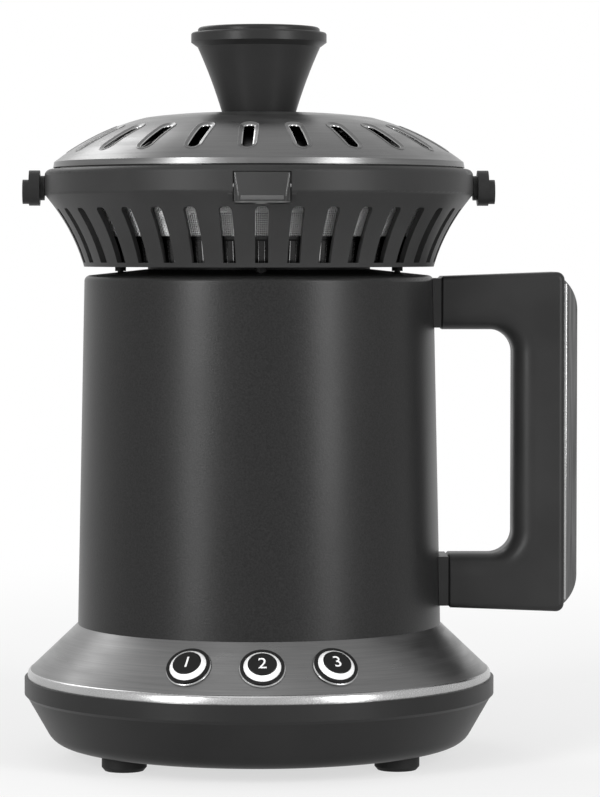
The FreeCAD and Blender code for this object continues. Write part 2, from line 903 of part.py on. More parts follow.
# Chassis plate on the pan's bosses, with the fan's inlet holes
plate = box(
    "chassis_blank", -size.chassis_length / 2, -size.chassis_width / 2, size.chassis_z,
    size.chassis_length, size.chassis_width, size.chassis_thickness,
)
plate_holes = [rod("chassis_shaft_hole", shaft_hole_radius, size.chassis_thickness, z=size.chassis_z)]
for i, (x, y) in enumerate(foot_places):
    plate_holes.append(
        rod(f"chassis_hole_{i}", screw_hole_radius, size.chassis_thickness, x, y, size.chassis_z)
    )
for i in range(int(size.inlet_count.value)):
    angle = Measure(FULL_TURN, str(FULL_TURN)) * (i + 0.5) / size.inlet_count
    plate_holes.append(rod(
        f"inlet_{i}", size.inlet_radius, size.chassis_thickness,
        size.inlet_circle_radius * cosine(angle), size.inlet_circle_radius * sine(angle), size.chassis_z,
    ))
motor_screw_hole = size.motor_screw_radius + size.running_clearance
motor_screw_places = [size.motor_screw_offset, -size.motor_screw_offset]
for i, x in enumerate(motor_screw_places):
    plate_holes.append(
        rod(f"motor_screw_hole_{i}", motor_screw_hole, size.chassis_thickness, x, z=size.chassis_z)
    )
node("chassis_plate", cut("chassis_bored", plate, plate_holes))


def hung_screw(name, radius, head_radius, head_height, length, x, y, seat):
    """A screw with its head up on a seat and its tip pointing down."""
    shank = rod(f"{name}_shank", radius, length, x, y, seat - length)
    head = rod(f"{name}_head", head_radius, head_height, x, y, seat)
    return fuse(name, [shank, head])


node("chassis_screws", group("chassis_screw_set", [
    hung_screw(
        f"chassis_screw_{i}", size.screw_radius, size.screw_head_radius, size.screw_head_height,
        size.chassis_screw_length, x, y, chassis_top,
    )
    for i, (x, y) in enumerate(foot_places)
]))
node("motor_screws", group("motor_screw_set", [
    hung_screw(
        f"motor_screw_{i}", size.motor_screw_radius, size.motor_screw_head_radius,
        size.motor_screw_head_height, size.motor_screw_length, x, ZERO, chassis_top,
    )
    for i, x in enumerate(motor_screw_places)
]))

# Motor under the chassis: can, rotor and shaft
motor_bottom = size.chassis_z - size.motor_length
motor_can = turned("motor_can", [
    (shaft_hole_radius, motor_bottom),
    (size.motor_radius, motor_bottom),
    (size.motor_radius, size.chassis_z),
    (shaft_hole_radius, size.chassis_z),
    (shaft_hole_radius, size.chassis_z - size.motor_sheet),
    (size.motor_radius - size.motor_sheet, size.chassis_z - size.motor_sheet),
    (size.motor_radius - size.motor_sheet, motor_bottom + size.motor_sheet),
    (shaft_hole_radius, motor_bottom + size.motor_sheet),
])
can_holes = [
    rod(f"can_hole_{i}", motor_screw_hole, size.motor_sheet, x, z=size.chassis_z - size.motor_sheet)
    for i, x in enumerate(motor_screw_places)
]
node("motor_case", cut("motor_can_bored", motor_can, can_holes))
impeller_z = chassis_top + size.impeller_rise
impeller_top = impeller_z + size.impeller_height
hub_top = impeller_z + size.impeller_hub_height
node("motor_shaft", rod("shaft", size.shaft_radius, hub_top - size.shaft_bottom_z, z=size.shaft_bottom_z))
rotor_bottom = motor_bottom + size.rotor_rise
press_radius = size.shaft_radius + size.running_clearance / 2
node("motor_rotor", turned("rotor", [
    (press_radius, rotor_bottom),
    (size.rotor_radius, rotor_bottom),
    (size.rotor_radius, rotor_bottom + size.rotor_length),
    (press_radius, rotor_bottom + size.rotor_length),
]))

# Impeller: disc and hub, with radial blades on top
impeller = turned("impeller_disc", [
    (press_radius, impeller_z),
    (size.impeller_radius, impeller_z),
    (size.impeller_radius, impeller_z + size.impeller_disc),
    (size.impeller_hub_radius, impeller_z + size.impeller_disc),
    (size.impeller_hub_radius, hub_top),
    (press_radius, hub_top),
])
blade_sketch = new_sketch(impeller, "XZ_Plane", "blade_outline")
draw_loop(blade_sketch, [
    (size.blade_inner_radius, impeller_z),
    (size.impeller_radius, impeller_z),
    (size.impeller_radius, impeller_top),
    (size.blade_inner_radius, impeller_top),
])
blade = impeller.newObject("PartDesign::Pad", "blade")
blade.Profile = blade_sketch
blade.Midplane = True
bind(blade, "Length", size.blade_thickness)
impeller.Tip = blade
ring_of(impeller, blade, "blades", size.blade_count)
node("impeller", impeller)

# Fan housing: an upright wall on the chassis with a wide flange that carries the hot parts
node("fan_housing", turned("fan_housing_turned", [
    (size.fan_housing_radius - size.fan_housing_wall, chassis_top),
    (size.fan_housing_radius, chassis_top),
    (size.fan_housing_radius, housing_top - size.fan_housing_wall),
    (size.fan_housing_flange_radius, housing_top - size.fan_housing_wall),
    (size.fan_housing_flange_radius, housing_top),
    (size.fan_housing_mouth_radius, housing_top),
    (size.fan_housing_mouth_radius, housing_top - size.fan_housing_wall),
    (size.fan_housing_radius - size.fan_housing_wall, housing_top - size.fan_housing_wall),
]))

# Heater: two crossed boards with the coil's turns on top
node("heater_frame", fuse("heater_boards", [
    box(
        "heater_board_x", -size.heater_board_half, -size.heater_board_thickness / 2, housing_top,
        size.heater_board_half * 2, size.heater_board_thickness, size.heater_board_height,
    ),
    box(
        "heater_board_y", -size.heater_board_thickness / 2, -size.heater_board_half, housing_top,
        size.heater_board_thickness, size.heater_board_half * 2, size.heater_board_height,
    ),
]))
coil_z = housing_top + size.heater_board_height + size.seat_clearance + size.coil_wire_radius
coils = []
for i in range(int(size.coil_count.value)):
    coil = doc.addObject("Part::Torus", f"coil_{i}")
    bind(coil, "Radius1", size.coil_inner_radius + size.coil_pitch * i)
    bind(coil, "Radius2", size.coil_wire_radius)
    coils.append(place(coil, z=coil_z))
node("heater_coil", group("coil_set", coils))

# Air guide round the chamber's louvres, and the heat shield outside it
guide_top = housing_top + size.guide_height
chamber_outer = size.chamber_radius + size.chamber_sheet
node("air_guide", turned("guide_turned", [
    (size.guide_radius - size.guide_sheet, housing_top),
    (size.guide_radius, housing_top),
    (size.guide_radius, guide_top),
    (chamber_outer + size.body_clearance, guide_top),
    (chamber_outer + size.body_clearance, guide_top - size.guide_sheet),
    (size.guide_radius - size.guide_sheet, guide_top - size.guide_sheet),
]))
node("heat_shield", turned("shield_turned", [
    (size.shield_radius - size.shield_sheet, housing_top),
    (size.shield_radius, housing_top),
    (size.shield_radius, housing_top + size.shield_height),
    (size.shield_radius - size.shield_sheet, housing_top + size.shield_height),
]))
node("thermostat", rod(
    "thermostat_disc", size.thermostat_radius, size.thermostat_length,
    y=size.guide_radius + size.body_clearance, z=housing_top + size.thermostat_rise, along=Y_AXIS,
))
node("thermal_fuse", rod(
    "fuse_tube", size.fuse_radius, size.fuse_length, -size.fuse_length / 2,
    size.guide_radius + size.body_clearance + size.fuse_radius, housing_top + size.fuse_rise, X_AXIS,
))

# Control board on the pan's posts, with its tall parts
board_z = pan_top + size.board_post_height
board_top = board_z + size.board_thickness
node("control_board", box(
    "board", -size.board_length / 2, size.board_front_y, board_z,
    size.board_length, size.board_width, size.board_thickness,
))
node("board_parts", group("board_part_set", [
    rod(
        "capacitor", size.capacitor_radius, size.capacitor_height,
        -size.board_length / 4, board_centre_y, board_top,
    ),
    box(
        "relay", size.board_length / 4 - size.relay_length / 2, board_centre_y - size.relay_width / 2,
        board_top, size.relay_length, size.relay_width, size.relay_height,
    ),
]))

# Roasting chamber: a cup with a raised cone in its floor and louvres round its foot
flange_z = size.seat_z - size.chamber_sheet
heel_z = size.chamber_bottom_z + size.chamber_heel
chamber = turned("chamber_turned", [
    (ZERO, size.chamber_bottom_z + size.chamber_cone_height),
    (size.chamber_cone_radius, size.chamber_bottom_z),
    (chamber_outer - size.chamber_heel, size.chamber_bottom_z),
    (chamber_outer, heel_z),
    (chamber_outer, flange_z),
    (size.chamber_flange_radius, flange_z),
    (size.chamber_flange_radius, size.seat_z),
    (size.chamber_radius, size.seat_z),
    (size.chamber_radius, heel_z),
    (size.chamber_radius - size.chamber_heel, size.chamber_bottom_z + size.chamber_sheet),
    (size.chamber_cone_radius, size.chamber_bottom_z + size.chamber_sheet),
    (ZERO, size.chamber_bottom_z + size.chamber_cone_height + size.chamber_sheet),
])
louvre_bottom = size.chamber_bottom_z + size.louvre_rise
louvre_start = size.chamber_radius - size.chamber_sheet * 2
louvre = pocket(
    chamber, "louvre", "XZ_Plane", size.chamber_flange_radius - louvre_start, louvre_start,
    loop=[
        (-size.louvre_width / 2, louvre_bottom),
        (size.louvre_width / 2, louvre_bottom),
        (size.louvre_width / 2, louvre_bottom + size.louvre_height),
        (-size.louvre_width / 2, louvre_bottom + size.louvre_height),
    ],
)
ring_of(chamber, louvre, "louvres", size.louvre_count)
node("roasting_chamber", chamber)

# Body shell: a tapered can with a soft top edge, open in the middle
upper_screw_z = size.upper_arm_top_z - size.arm_height / 2
lower_screw_z = size.lower_arm_bottom_z + size.arm_height / 2
shell_section = [
    (size.body_bottom_radius - size.body_sheet, size.body_bottom_z),
    (size.body_bottom_radius, size.body_bottom_z),
    (size.body_top_radius, body_side_top, size.body_corner_radius, "left"),
    (shoulder_radius, shoulder_z),
    (size.body_opening_radius, top_plate_z(size.body_opening_radius)),
    (size.body_opening_radius, top_plate_z(size.body_opening_radius) - size.body_sheet),
    (shoulder_radius - size.body_sheet / 2, shoulder_z - size.body_sheet),
    (size.body_top_radius - size.body_sheet, body_side_top - size.body_sheet / 2),
]
shell = turned("shell_turned", shell_section)
bumper_hole = pocket(
    shell, "bumper_hole", "XY_Plane", size.seat_z - body_side_top, body_side_top,
    circle=(size.bumper_circle_radius, ZERO, size.bumper_stem_radius + size.seat_clearance),
)
ring_of(shell, bumper_hole, "bumper_holes", size.bumper_count)
handle_hole_radius = size.handle_screw_radius + size.running_clearance
wall_holes = [
    rod(f"wall_hole_{i}", handle_hole_radius, size.body_bottom_radius, z=height, along=X_AXIS)
    for i, height in enumerate((upper_screw_z, lower_screw_z))
]
node("body_shell", cut("shell_bored", shell, wall_holes))

# Rubber bumpers pushed into the top plate, which the collector sits over
bumper_under = top_plate_z(size.bumper_circle_radius - size.bumper_radius) + size.seat_clearance
bumpers = []
for i in range(int(size.bumper_count.value)):
    angle = Measure(FULL_TURN, str(FULL_TURN)) * i / size.bumper_count
    item = turned(f"bumper_{i}", [
        (ZERO, bumper_under - size.bumper_stem_length),
        (size.bumper_stem_radius, bumper_under - size.bumper_stem_length),
        (size.bumper_stem_radius, bumper_under),
        (size.bumper_radius, bumper_under),
        (size.bumper_radius, size.seat_z),
        (ZERO, size.seat_z),
    ])
    bumpers.append(
        place(item, size.bumper_circle_radius * cosine(angle), size.bumper_circle_radius * sine(angle))
    )
node("rest_bumpers", group("bumper_set", bumpers))

# Collar in the body's opening, recessed for the chamber's flange
collar_inner = chamber_outer + size.body_clearance
collar_outer = size.body_opening_radius - size.body_clearance
collar_flange_top = top_plate_z(size.collar_flange_radius) - size.body_sheet - size.body_clearance
node("top_collar", turned("collar_turned", [
    (collar_inner, collar_flange_top - size.collar_flange_height),
    (size.collar_flange_radius, collar_flange_top - size.collar_flange_height),
    (size.collar_flange_radius, collar_flange_top),
    (collar_outer, collar_flange_top),
    (collar_outer, size.seat_z),
    (size.chamber_flange_radius + size.seat_clearance, size.seat_z),
    (size.chamber_flange_radius + size.seat_clearance, flange_z),
    (collar_inner, flange_z),
]))

# Handle: two arms and a grip, screwed on from inside the body
upper_arm_bottom = size.upper_arm_top_z - size.arm_height
lower_arm_top = size.lower_arm_bottom_z + size.arm_height
outer_top = size.upper_arm_top_z + size.arm_rise
outer_bottom = size.lower_arm_bottom_z - size.arm_rise
inner = size.handle_inner_corner
outer = size.handle_outer_corner
handle = padded("handle_pad", "XZ_Plane", [
    (size.upper_arm_start_x, upper_arm_bottom),
    (size.grip_inner_x - inner, upper_arm_bottom, inner, "right"),
    (size.grip_inner_x, upper_arm_bottom - inner),
    (size.grip_inner_x, lower_arm_top + inner, inner, "right"),
    (size.grip_inner_x - inner, lower_arm_top),
    (size.lower_arm_start_x, lower_arm_top),
    (size.lower_arm_start_x, size.lower_arm_bottom_z),
    (size.grip_outer_x - outer, outer_bottom, outer, "left"),
    (size.grip_outer_x, outer_bottom + outer),
    (size.grip_outer_x, outer_top - outer, outer, "left"),
    (size.grip_outer_x - outer, outer_top),
    (size.upper_arm_start_x, size.upper_arm_top_z),
], size.handle_width)
doc.recompute()


def side_edges(shape, keep):
    """Names of the edges that lie in the handle's two side faces and pass the test."""
    half = size.handle_width.value / 2
    near = 1e-4
    chosen = []
    for i, edge in enumerate(shape.Edges, start=1):
        ends = [v.Point for v in edge.Vertexes]
        flat = all(abs(abs(p.y) - half) < near for p in ends) and abs(ends[0].y - ends[-1].y) < near
        if flat and keep(edge.BoundBox):
            chosen.append(f"Edge{i}")
    return chosen


def around_fingers(box_of_edge):
    """True for the edges that a hand in the handle touches."""
    grip = size.grip_inner_x.value
    return (
        box_of_edge.XMax < grip + 0.1
        and box_of_edge.ZMin > lower_arm_top.value - 0.1
        and box_of_edge.ZMax < upper_arm_bottom.value + 0.1
        and box_of_edge.XLength + box_of_edge.ZLength > 1
    )


def outside(box_of_edge):
    """True for the edges round the handle's outside, without the arms' flat ends."""
    high = size.lower_arm_bottom_z.value + 0.1 > box_of_edge.ZMin or box_of_edge.ZMax > (
        size.upper_arm_top_z.value - 0.1
    )
    far = box_of_edge.XMin > size.grip_outer_x.value - 0.1
    return (high or far) and box_of_edge.XLength + box_of_edge.ZLength > 1 and not (
        box_of_edge.XLength < 0.1 and not far
    )


def rounded(body, name, base, edges, radius):
    fillet = body.newObject("PartDesign::Fillet", name)
    fillet.Base = (base, edges)
    bind(fillet, "Radius", radius)
    body.Tip = fillet
    doc.recompute()
    return fillet


finger_round = rounded(
    handle, "handle_inner_round", handle.Tip, side_edges(handle.Tip.Shape, around_fingers),
    size.handle_inner_round,
)
outer_round = rounded(
    handle, "handle_outer_round", finger_round, side_edges(finger_round.Shape, outside),
    size.handle_outer_round,
)


def arm_end_edges(shape):
    """Names of the edges round the two faces that the arms turn to the body."""
    starts = (size.upper_arm_start_x.value, size.lower_arm_start_x.value)
    near = 1e-4
    return [
        f"Edge{i}"
        for i, edge in enumerate(shape.Edges, start=1)
        if any(abs(edge.BoundBox.XMin - x) < near and abs(edge.BoundBox.XMax - x) < near for x in starts)
    ]


arm_ends_chamfer = handle.newObject("PartDesign::Chamfer", "arm_end_chamfer")
arm_ends_chamfer.Base = (outer_round, arm_end_edges(outer_round.Shape))
bind(arm_ends_chamfer, "Size", size.arm_end_chamfer)
handle.Tip = arm_ends_chamfer
doc.recompute()
arm_ends = ((size.upper_arm_start_x, upper_screw_z), (size.lower_arm_start_x, lower_screw_z))
handle_bores = []
handle_screws = []
for i, (start_x, height) in enumerate(arm_ends):
    wall_inner = body_radius_at(height) - size.body_sheet
    seat_x = wall_inner - size.seat_clearance * 2
    handle_bores.append(rod(
        f"handle_bore_{i}", handle_hole_radius, size.handle_screw_length, start_x, z=height, along=X_AXIS
    ))
    handle_screws.append(fuse(f"handle_screw_{i}", [
        rod(
            f"handle_screw_head_{i}", size.handle_screw_head_radius, size.handle_screw_head_height,
            seat_x - size.handle_screw_head_height, z=height, along=X_AXIS,
        ),
        rod(
            f"handle_screw_shank_{i}", size.handle_screw_radius, size.handle_screw_length,
            seat_x, z=height, along=X_AXIS,
        ),
    ]))
node("handle_grip", cut("handle_bored", handle, handle_bores))
node("handle_screws", group("handle_screw_set", handle_screws))

# Steel trim along the grip's outside, with curved ends
trim_top = outer_top - outer
trim_bottom = outer_bottom + outer
trim_outer = size.grip_outer_x + size.trim_thickness
node("handle_trim", padded("trim_pad", "XZ_Plane", [
    (size.grip_outer_x, trim_bottom, size.trim_arc, "left"),
    (trim_outer, trim_bottom + size.trim_end_run),
    (trim_outer, trim_top - size.trim_end_run, size.trim_arc, "left"),
    (size.grip_outer_x, trim_top),
], size.trim_width))

# Collars between the round body and the arms' flat ends
collars = []
for i, (start_x, height) in enumerate(arm_ends):
    inner_x = size.body_top_radius - size.handle_width / 8
    inset = size.handle_collar_inset
    blank = box(
        f"handle_collar_blank_{i}", inner_x, -(size.handle_width / 2 - inset),
        height - size.arm_height / 2 + inset, start_x - inner_x,
        size.handle_width - inset * 2, size.arm_height - inset * 2,
    )
    body_form = doc.addObject("Part::Cone", f"collar_body_form_{i}")
    bind(body_form, "Radius1", size.body_bottom_radius + size.seat_clearance)
    bind(body_form, "Radius2", body_radius_at(shoulder_z) + size.seat_clearance)
    bind(body_form, "Height", shoulder_z - size.body_bottom_z)
    place(body_form, z=size.body_bottom_z)
    hole = rod(f"collar_hole_{i}", handle_hole_radius, start_x, z=height, along=X_AXIS)
    collars.append(cut(f"handle_collar_{i}", blank, [body_form, hole]))
node("handle_collars", group("handle_collar_set", collars))

# Chaff collector's skirt: flared flank with slots, upright band, rolled shoulder
skirt_z = size.seat_z
flank_top_r = size.skirt_bottom_radius + size.skirt_flank_run
flank_top_z = skirt_z + size.skirt_flank_height
band_bottom_z = skirt_z + size.band_bottom_rise
band_top_z = band_bottom_z + size.band_height
mouth_top_z = band_top_z + size.rim_height
inner_flank = size.skirt_flank_arc + size.skirt_wall
corner_r = size.band_radius - size.skirt_corner_run
corner_z = band_bottom_z - size.skirt_corner_rise
skirt = turned("skirt_turned", [
    (size.skirt_bottom_radius - size.skirt_wall, skirt_z),
    (size.skirt_bottom_radius, skirt_z, size.skirt_flank_arc, "right"),
    (flank_top_r, flank_top_z),
    (corner_r, corner_z, size.band_corner, "left"),
    (size.band_radius, band_bottom_z),
    (size.band_radius, band_top_z, size.shoulder_arc, "left"),
    (size.band_radius - size.shoulder_arc, band_top_z + size.shoulder_arc),
    (size.mouth_radius, mouth_top_z),
    (size.mouth_radius, mouth_top_z - size.rim_thickness),
    (size.band_radius - size.skirt_wall - size.shoulder_arc / 2, band_top_z + size.seat_clearance),
    (size.band_radius - size.skirt_wall, band_top_z - size.shoulder_arc / 2),
    (size.band_radius - size.skirt_wall, band_bottom_z),
    (flank_top_r - size.skirt_wall * 0.8, flank_top_z + size.skirt_wall * 0.6, inner_flank, "left"),
])
slot_bottom = skirt_z + size.slot_rise
slot_top = slot_bottom + size.slot_height
slot_half = size.slot_width / 2
slot_start = size.skirt_bottom_radius - size.skirt_wall * 2
slot = pocket(
    skirt, "skirt_slot", "XZ_Plane", size.band_radius - slot_start, slot_start,
    loop=[
        (-slot_half, slot_bottom),
        (slot_half, slot_bottom),
        (slot_half, slot_top - size.slot_corner, size.slot_corner, "left"),
        (slot_half - size.slot_corner, slot_top),
        (size.slot_corner - slot_half, slot_top, size.slot_corner, "left"),
        (-slot_half, slot_top - size.slot_corner),
    ],
)
ring_of(skirt, slot, "skirt_slots", size.slot_count)

# Latch: window, cheeks with the pin's holes, tongue on its pin, spring
window_bottom = skirt_z + size.latch_window_bottom
window_half = size.latch_window_width / 2
latch_y = size.band_radius - size.latch_pin_inset
window = box(
    "latch_window", -window_half, -(size.band_radius + size.latch_thickness), window_bottom,
    size.latch_window_width, size.skirt_wall * 4, size.latch_window_height,
)
cheek_front = size.band_radius - size.skirt_wall / 2 - size.seat_clearance * 2
cheek_back = size.mouth_radius + size.body_clearance
cheeks = []
for i, side in enumerate((1, -1)):
    start = window_half if side > 0 else -(window_half + size.latch_cheek_thickness)
    cheeks.append(box(
        f"latch_cheek_{i}", start, -cheek_front, size.latch_cheek_bottom,
        size.latch_cheek_thickness, cheek_front - cheek_back, size.latch_cheek_height,
    ))
pin_half = window_half + size.latch_cheek_thickness
pin_hole = rod(
    "latch_pin_hole", size.latch_pin_radius + size.running_clearance / 2, pin_half * 2,
    -pin_half, -latch_y, size.latch_pin_z, X_AXIS,
)
lug_stud_hole = rod(
    "lug_stud_hole", size.lug_stud_radius + size.seat_clearance, size.band_radius * 2.2,
    -(size.band_radius * 1.1), z=size.lug_z - size.lug_cap_drop, along=X_AXIS,
)
bracket_rivet_holes = [
    rod(
        f"bracket_rivet_hole_{i}", size.rivet_radius + size.running_clearance, size.skirt_wall * 3,
        x, size.band_radius - size.skirt_wall * 1.5, size.bracket_rivet_z, Y_AXIS,
    )
    for i, x in enumerate((size.bracket_rivet_offset, -size.bracket_rivet_offset))
]
skirt_open = cut("skirt_window", skirt, [window])
skirt_cheeked = fuse("skirt_cheeked", [skirt_open, *cheeks])
node("collector_skirt", cut("skirt_bored", skirt_cheeked, [pin_hole, lug_stud_hole, *bracket_rivet_holes]))
node("latch_pin", rod(
    "latch_pin_rod", size.latch_pin_radius, pin_half * 2, -pin_half, -latch_y, size.latch_pin_z, X_AXIS
))

tongue_outer = size.band_radius + size.latch_proud
tongue_inner = tongue_outer - size.latch_thickness
tongue_bottom = window_bottom + size.latch_slit
tongue_top = window_bottom + size.latch_window_height - size.body_clearance


def tongue_layer(name, outer_radius, bottom_width):
    """One thickness of the tongue: it follows the band, and narrows towards the bottom."""
    ring = turned(f"{name}_ring", [
        (tongue_inner, tongue_bottom),
        (outer_radius, tongue_bottom),
        (outer_radius, tongue_top),
        (tongue_inner, tongue_top),
    ])
    form = padded(f"{name}_form", "XZ_Plane", [
        (-bottom_width / 2, tongue_bottom),
        (bottom_width / 2, tongue_bottom),
        (size.latch_top_width / 2, tongue_top),
        (-size.latch_top_width / 2, tongue_top),
    ], size.latch_window_width)
    place(form, y=-tongue_outer)
    layer = doc.addObject("Part::Common", name)
    layer.Base = ring
    layer.Tool = form
    return layer


tongue_back = tongue_layer("tongue_back", size.band_radius, size.latch_top_width)
tongue_face = tongue_layer("tongue_face", tongue_outer, size.latch_bottom_width)
tongue_plate = fuse("tongue_plate", [tongue_back, tongue_face])
hubs = [
    rod(
        f"latch_hub_{i}", size.latch_hub_radius, size.latch_hub_outer - size.latch_hub_inner,
        start, -latch_y, size.latch_pin_z, X_AXIS,
    )
    for i, start in enumerate((size.latch_hub_inner, -size.latch_hub_outer))
]
nose_tip = size.mouth_radius - size.lid_clearance + size.body_clearance
nose = box(
    "latch_nose", -size.latch_nose_half, -(tongue_outer - size.latch_thickness / 2), size.latch_nose_bottom,
    size.latch_nose_half * 2, tongue_outer - size.latch_thickness / 2 - nose_tip, size.latch_nose_height,
)
tongue_bore = rod(
    "tongue_bore", size.latch_pin_radius + size.running_clearance, size.latch_hub_outer * 2,
    -size.latch_hub_outer, -latch_y, size.latch_pin_z, X_AXIS,
)
tongue_whole = fuse("tongue_whole", [tongue_plate, *hubs, nose])
node("latch_tongue", cut("tongue_bored", tongue_whole, [tongue_bore]))
spring_bore = size.latch_pin_radius + size.body_clearance / 3
latch_spring = cut("latch_spring_tube", rod(
    "latch_spring_outer", spring_bore + size.latch_spring_wall, size.latch_spring_half * 2,
    -size.latch_spring_half, -latch_y, size.latch_pin_z, X_AXIS,
), [rod(
    "latch_spring_bore", spring_bore, size.latch_spring_half * 2,
    -size.latch_spring_half, -latch_y, size.latch_pin_z, X_AXIS,
)])
node("latch_spring", latch_spring)

# Chaff basin, mesh screen and flue inside the skirt
basin_z = skirt_z + size.body_clearance
basin_top = basin_z + size.basin_height
plug_radius = size.chamber_radius - size.plug_clearance
node("chaff_basin", turned("basin_turned", [
    (plug_radius + size.seat_clearance, basin_z),
    (size.basin_radius, basin_z),
    (size.basin_radius + size.basin_flare, basin_top),
    (size.basin_radius + size.basin_flare - size.basin_sheet, basin_top),
    (size.basin_radius - size.basin_sheet, basin_z + size.basin_sheet),
    (plug_radius + size.seat_clearance, basin_z + size.basin_sheet),
]))
screen_foot = size.basin_radius + size.basin_flare
screen_top = basin_top + size.screen_height
node("mesh_screen", turned("screen_turned", [
    (screen_foot - size.screen_sheet, basin_top),
    (screen_foot, basin_top),
    (screen_foot + size.screen_run, screen_top - size.screen_sheet),
    (size.screen_flange_radius, screen_top - size.screen_sheet),
    (size.screen_flange_radius, screen_top),
    (screen_foot + size.screen_run - size.screen_sheet, screen_top),
]))
flue_flange_z = basin_z + size.basin_sheet
flue_top = flue_flange_z + size.flue_top_rise
node("chaff_flue", turned("flue_turned", [
    (plug_radius - size.flue_wall, skirt_z - size.flue_plug_depth),
    (plug_radius, skirt_z - size.flue_plug_depth),
    (plug_radius, flue_flange_z),
    (size.flue_flange_radius, flue_flange_z),
    (size.flue_flange_radius, flue_flange_z + size.flue_wall),
    (plug_radius, flue_flange_z + size.flue_wall),
    (plug_radius, flue_flange_z + size.flue_neck_rise),
    (size.flue_top_radius, flue_top),
    (size.flue_top_radius - size.flue_wall, flue_top),
    (plug_radius - size.flue_wall, flue_flange_z + size.flue_neck_rise),
]))

# Side lugs that the collector is lifted by, each clamped by a cap with a stud
lugs = []
caps = []
for side, name in ((1, "right"), (-1, "left")):
    way = X_AXIS * side
    first = (size.band_radius + size.seat_clearance) * side
    second = first + size.lug_neck_length * side
    third = second + size.lug_flange_thickness * side
    stud_z = size.lug_z - size.lug_cap_drop
    lug_body = fuse(f"lug_body_{name}", [
        rod(f"lug_neck_{name}", size.lug_neck_radius, size.lug_neck_length, first, z=size.lug_z, along=way),
        rod(
            f"lug_flange_{name}", size.lug_flange_radius, size.lug_flange_thickness,
            second, z=size.lug_z, along=way,
        ),
    ])
    stud_hole = rod(
        f"lug_hole_{name}", size.lug_stud_radius + size.seat_clearance,
        size.lug_neck_length + size.lug_flange_thickness, first, z=stud_z, along=way,
    )
    lugs.append(cut(f"lug_{name}", lug_body, [stud_hole]))
    lug_length = size.lug_neck_length + size.lug_flange_thickness
    stud_length = size.skirt_wall + size.seat_clearance + lug_length
    caps.append(fuse(f"lug_cap_{name}", [
        rod(f"lug_cap_disc_{name}", size.lug_cap_radius, size.lug_cap_thickness, third, z=stud_z, along=way),
        rod(
            f"lug_stud_{name}", size.lug_stud_radius, stud_length,
            third - stud_length * side, z=stud_z, along=way,
        ),
    ]))
node("side_lugs", group("lug_set", lugs))
node("lug_caps", group("lug_cap_set", caps))

# Lid's hinge: bracket with two ears on the band, pin, and the leaf on the lid
ear_inner = size.hinge_barrel_half + size.body_clearance
ear_outer = ear_inner + size.hinge_ear_thickness
plate_outer = size.band_radius + size.seat_clearance + size.hinge_plate
bracket_blank = fuse("bracket_blank", [
    box(
        "bracket_plate", -ear_outer, size.band_radius - size.hinge_plate, size.hinge_base_bottom,
        ear_outer * 2, plate_outer - size.band_radius + size.hinge_plate, size.hinge_base_height,
    ),
    *(
        box(
            f"bracket_ear_{i}", start, size.band_radius - size.hinge_plate, size.hinge_base_bottom,
            size.hinge_ear_thickness, size.hinge_y + size.hinge_barrel_radius - size.band_radius
            + size.hinge_plate, size.hinge_z + size.hinge_barrel_radius - size.hinge_base_bottom,
        )
        for i, start in enumerate((ear_inner, -ear_outer))
    ),
])
band_form = rod(
    "bracket_band_form", size.band_radius + size.seat_clearance, size.lid_z, z=ZERO,
)
ear_pin_hole = rod(
    "ear_pin_hole", size.hinge_pin_radius + size.running_clearance / 2, ear_outer * 2,
    -ear_outer, size.hinge_y, size.hinge_z, X_AXIS,
)
ear_relief = box(
    "ear_relief", -ear_outer, size.mouth_radius, size.lid_z - size.body_clearance,
    ear_outer * 2, size.hinge_y - size.hinge_barrel_radius - size.mouth_radius,
    size.hinge_barrel_radius * 3,
)
bracket_holes = [
    rod(
        f"bracket_hole_{i}", size.rivet_radius + size.running_clearance, size.skirt_wall * 4,
        x, size.band_radius - size.skirt_wall * 1.5, size.bracket_rivet_z, Y_AXIS,
    )
    for i, x in enumerate((size.bracket_rivet_offset, -size.bracket_rivet_offset))
]
bracket_cuts = [band_form, ear_pin_hole, ear_relief, *bracket_holes]
node("hinge_bracket", cut("bracket_bored", bracket_blank, bracket_cuts))
node("hinge_pin", rod(
    "hinge_pin_rod", size.hinge_pin_radius, ear_outer * 2, -ear_outer, size.hinge_y, size.hinge_z, X_AXIS
))
bracket_back = size.hinge_y + size.hinge_barrel_radius
rivet_inside = size.band_radius - size.skirt_wall - size.rivet_head_height
node("bracket_rivets", group("bracket_rivet_set", [
    fuse(f"bracket_rivet_{i}", [
        rod(
            f"bracket_rivet_shank_{i}", size.rivet_radius, bracket_back - rivet_inside,
            x, rivet_inside, size.bracket_rivet_z, Y_AXIS,
        ),
        rod(
            f"bracket_rivet_head_{i}", size.rivet_head_radius, size.rivet_head_height,
            x, bracket_back, size.bracket_rivet_z, Y_AXIS,
        ),
    ])
    for i, x in enumerate((size.bracket_rivet_offset, -size.bracket_rivet_offset))
]))

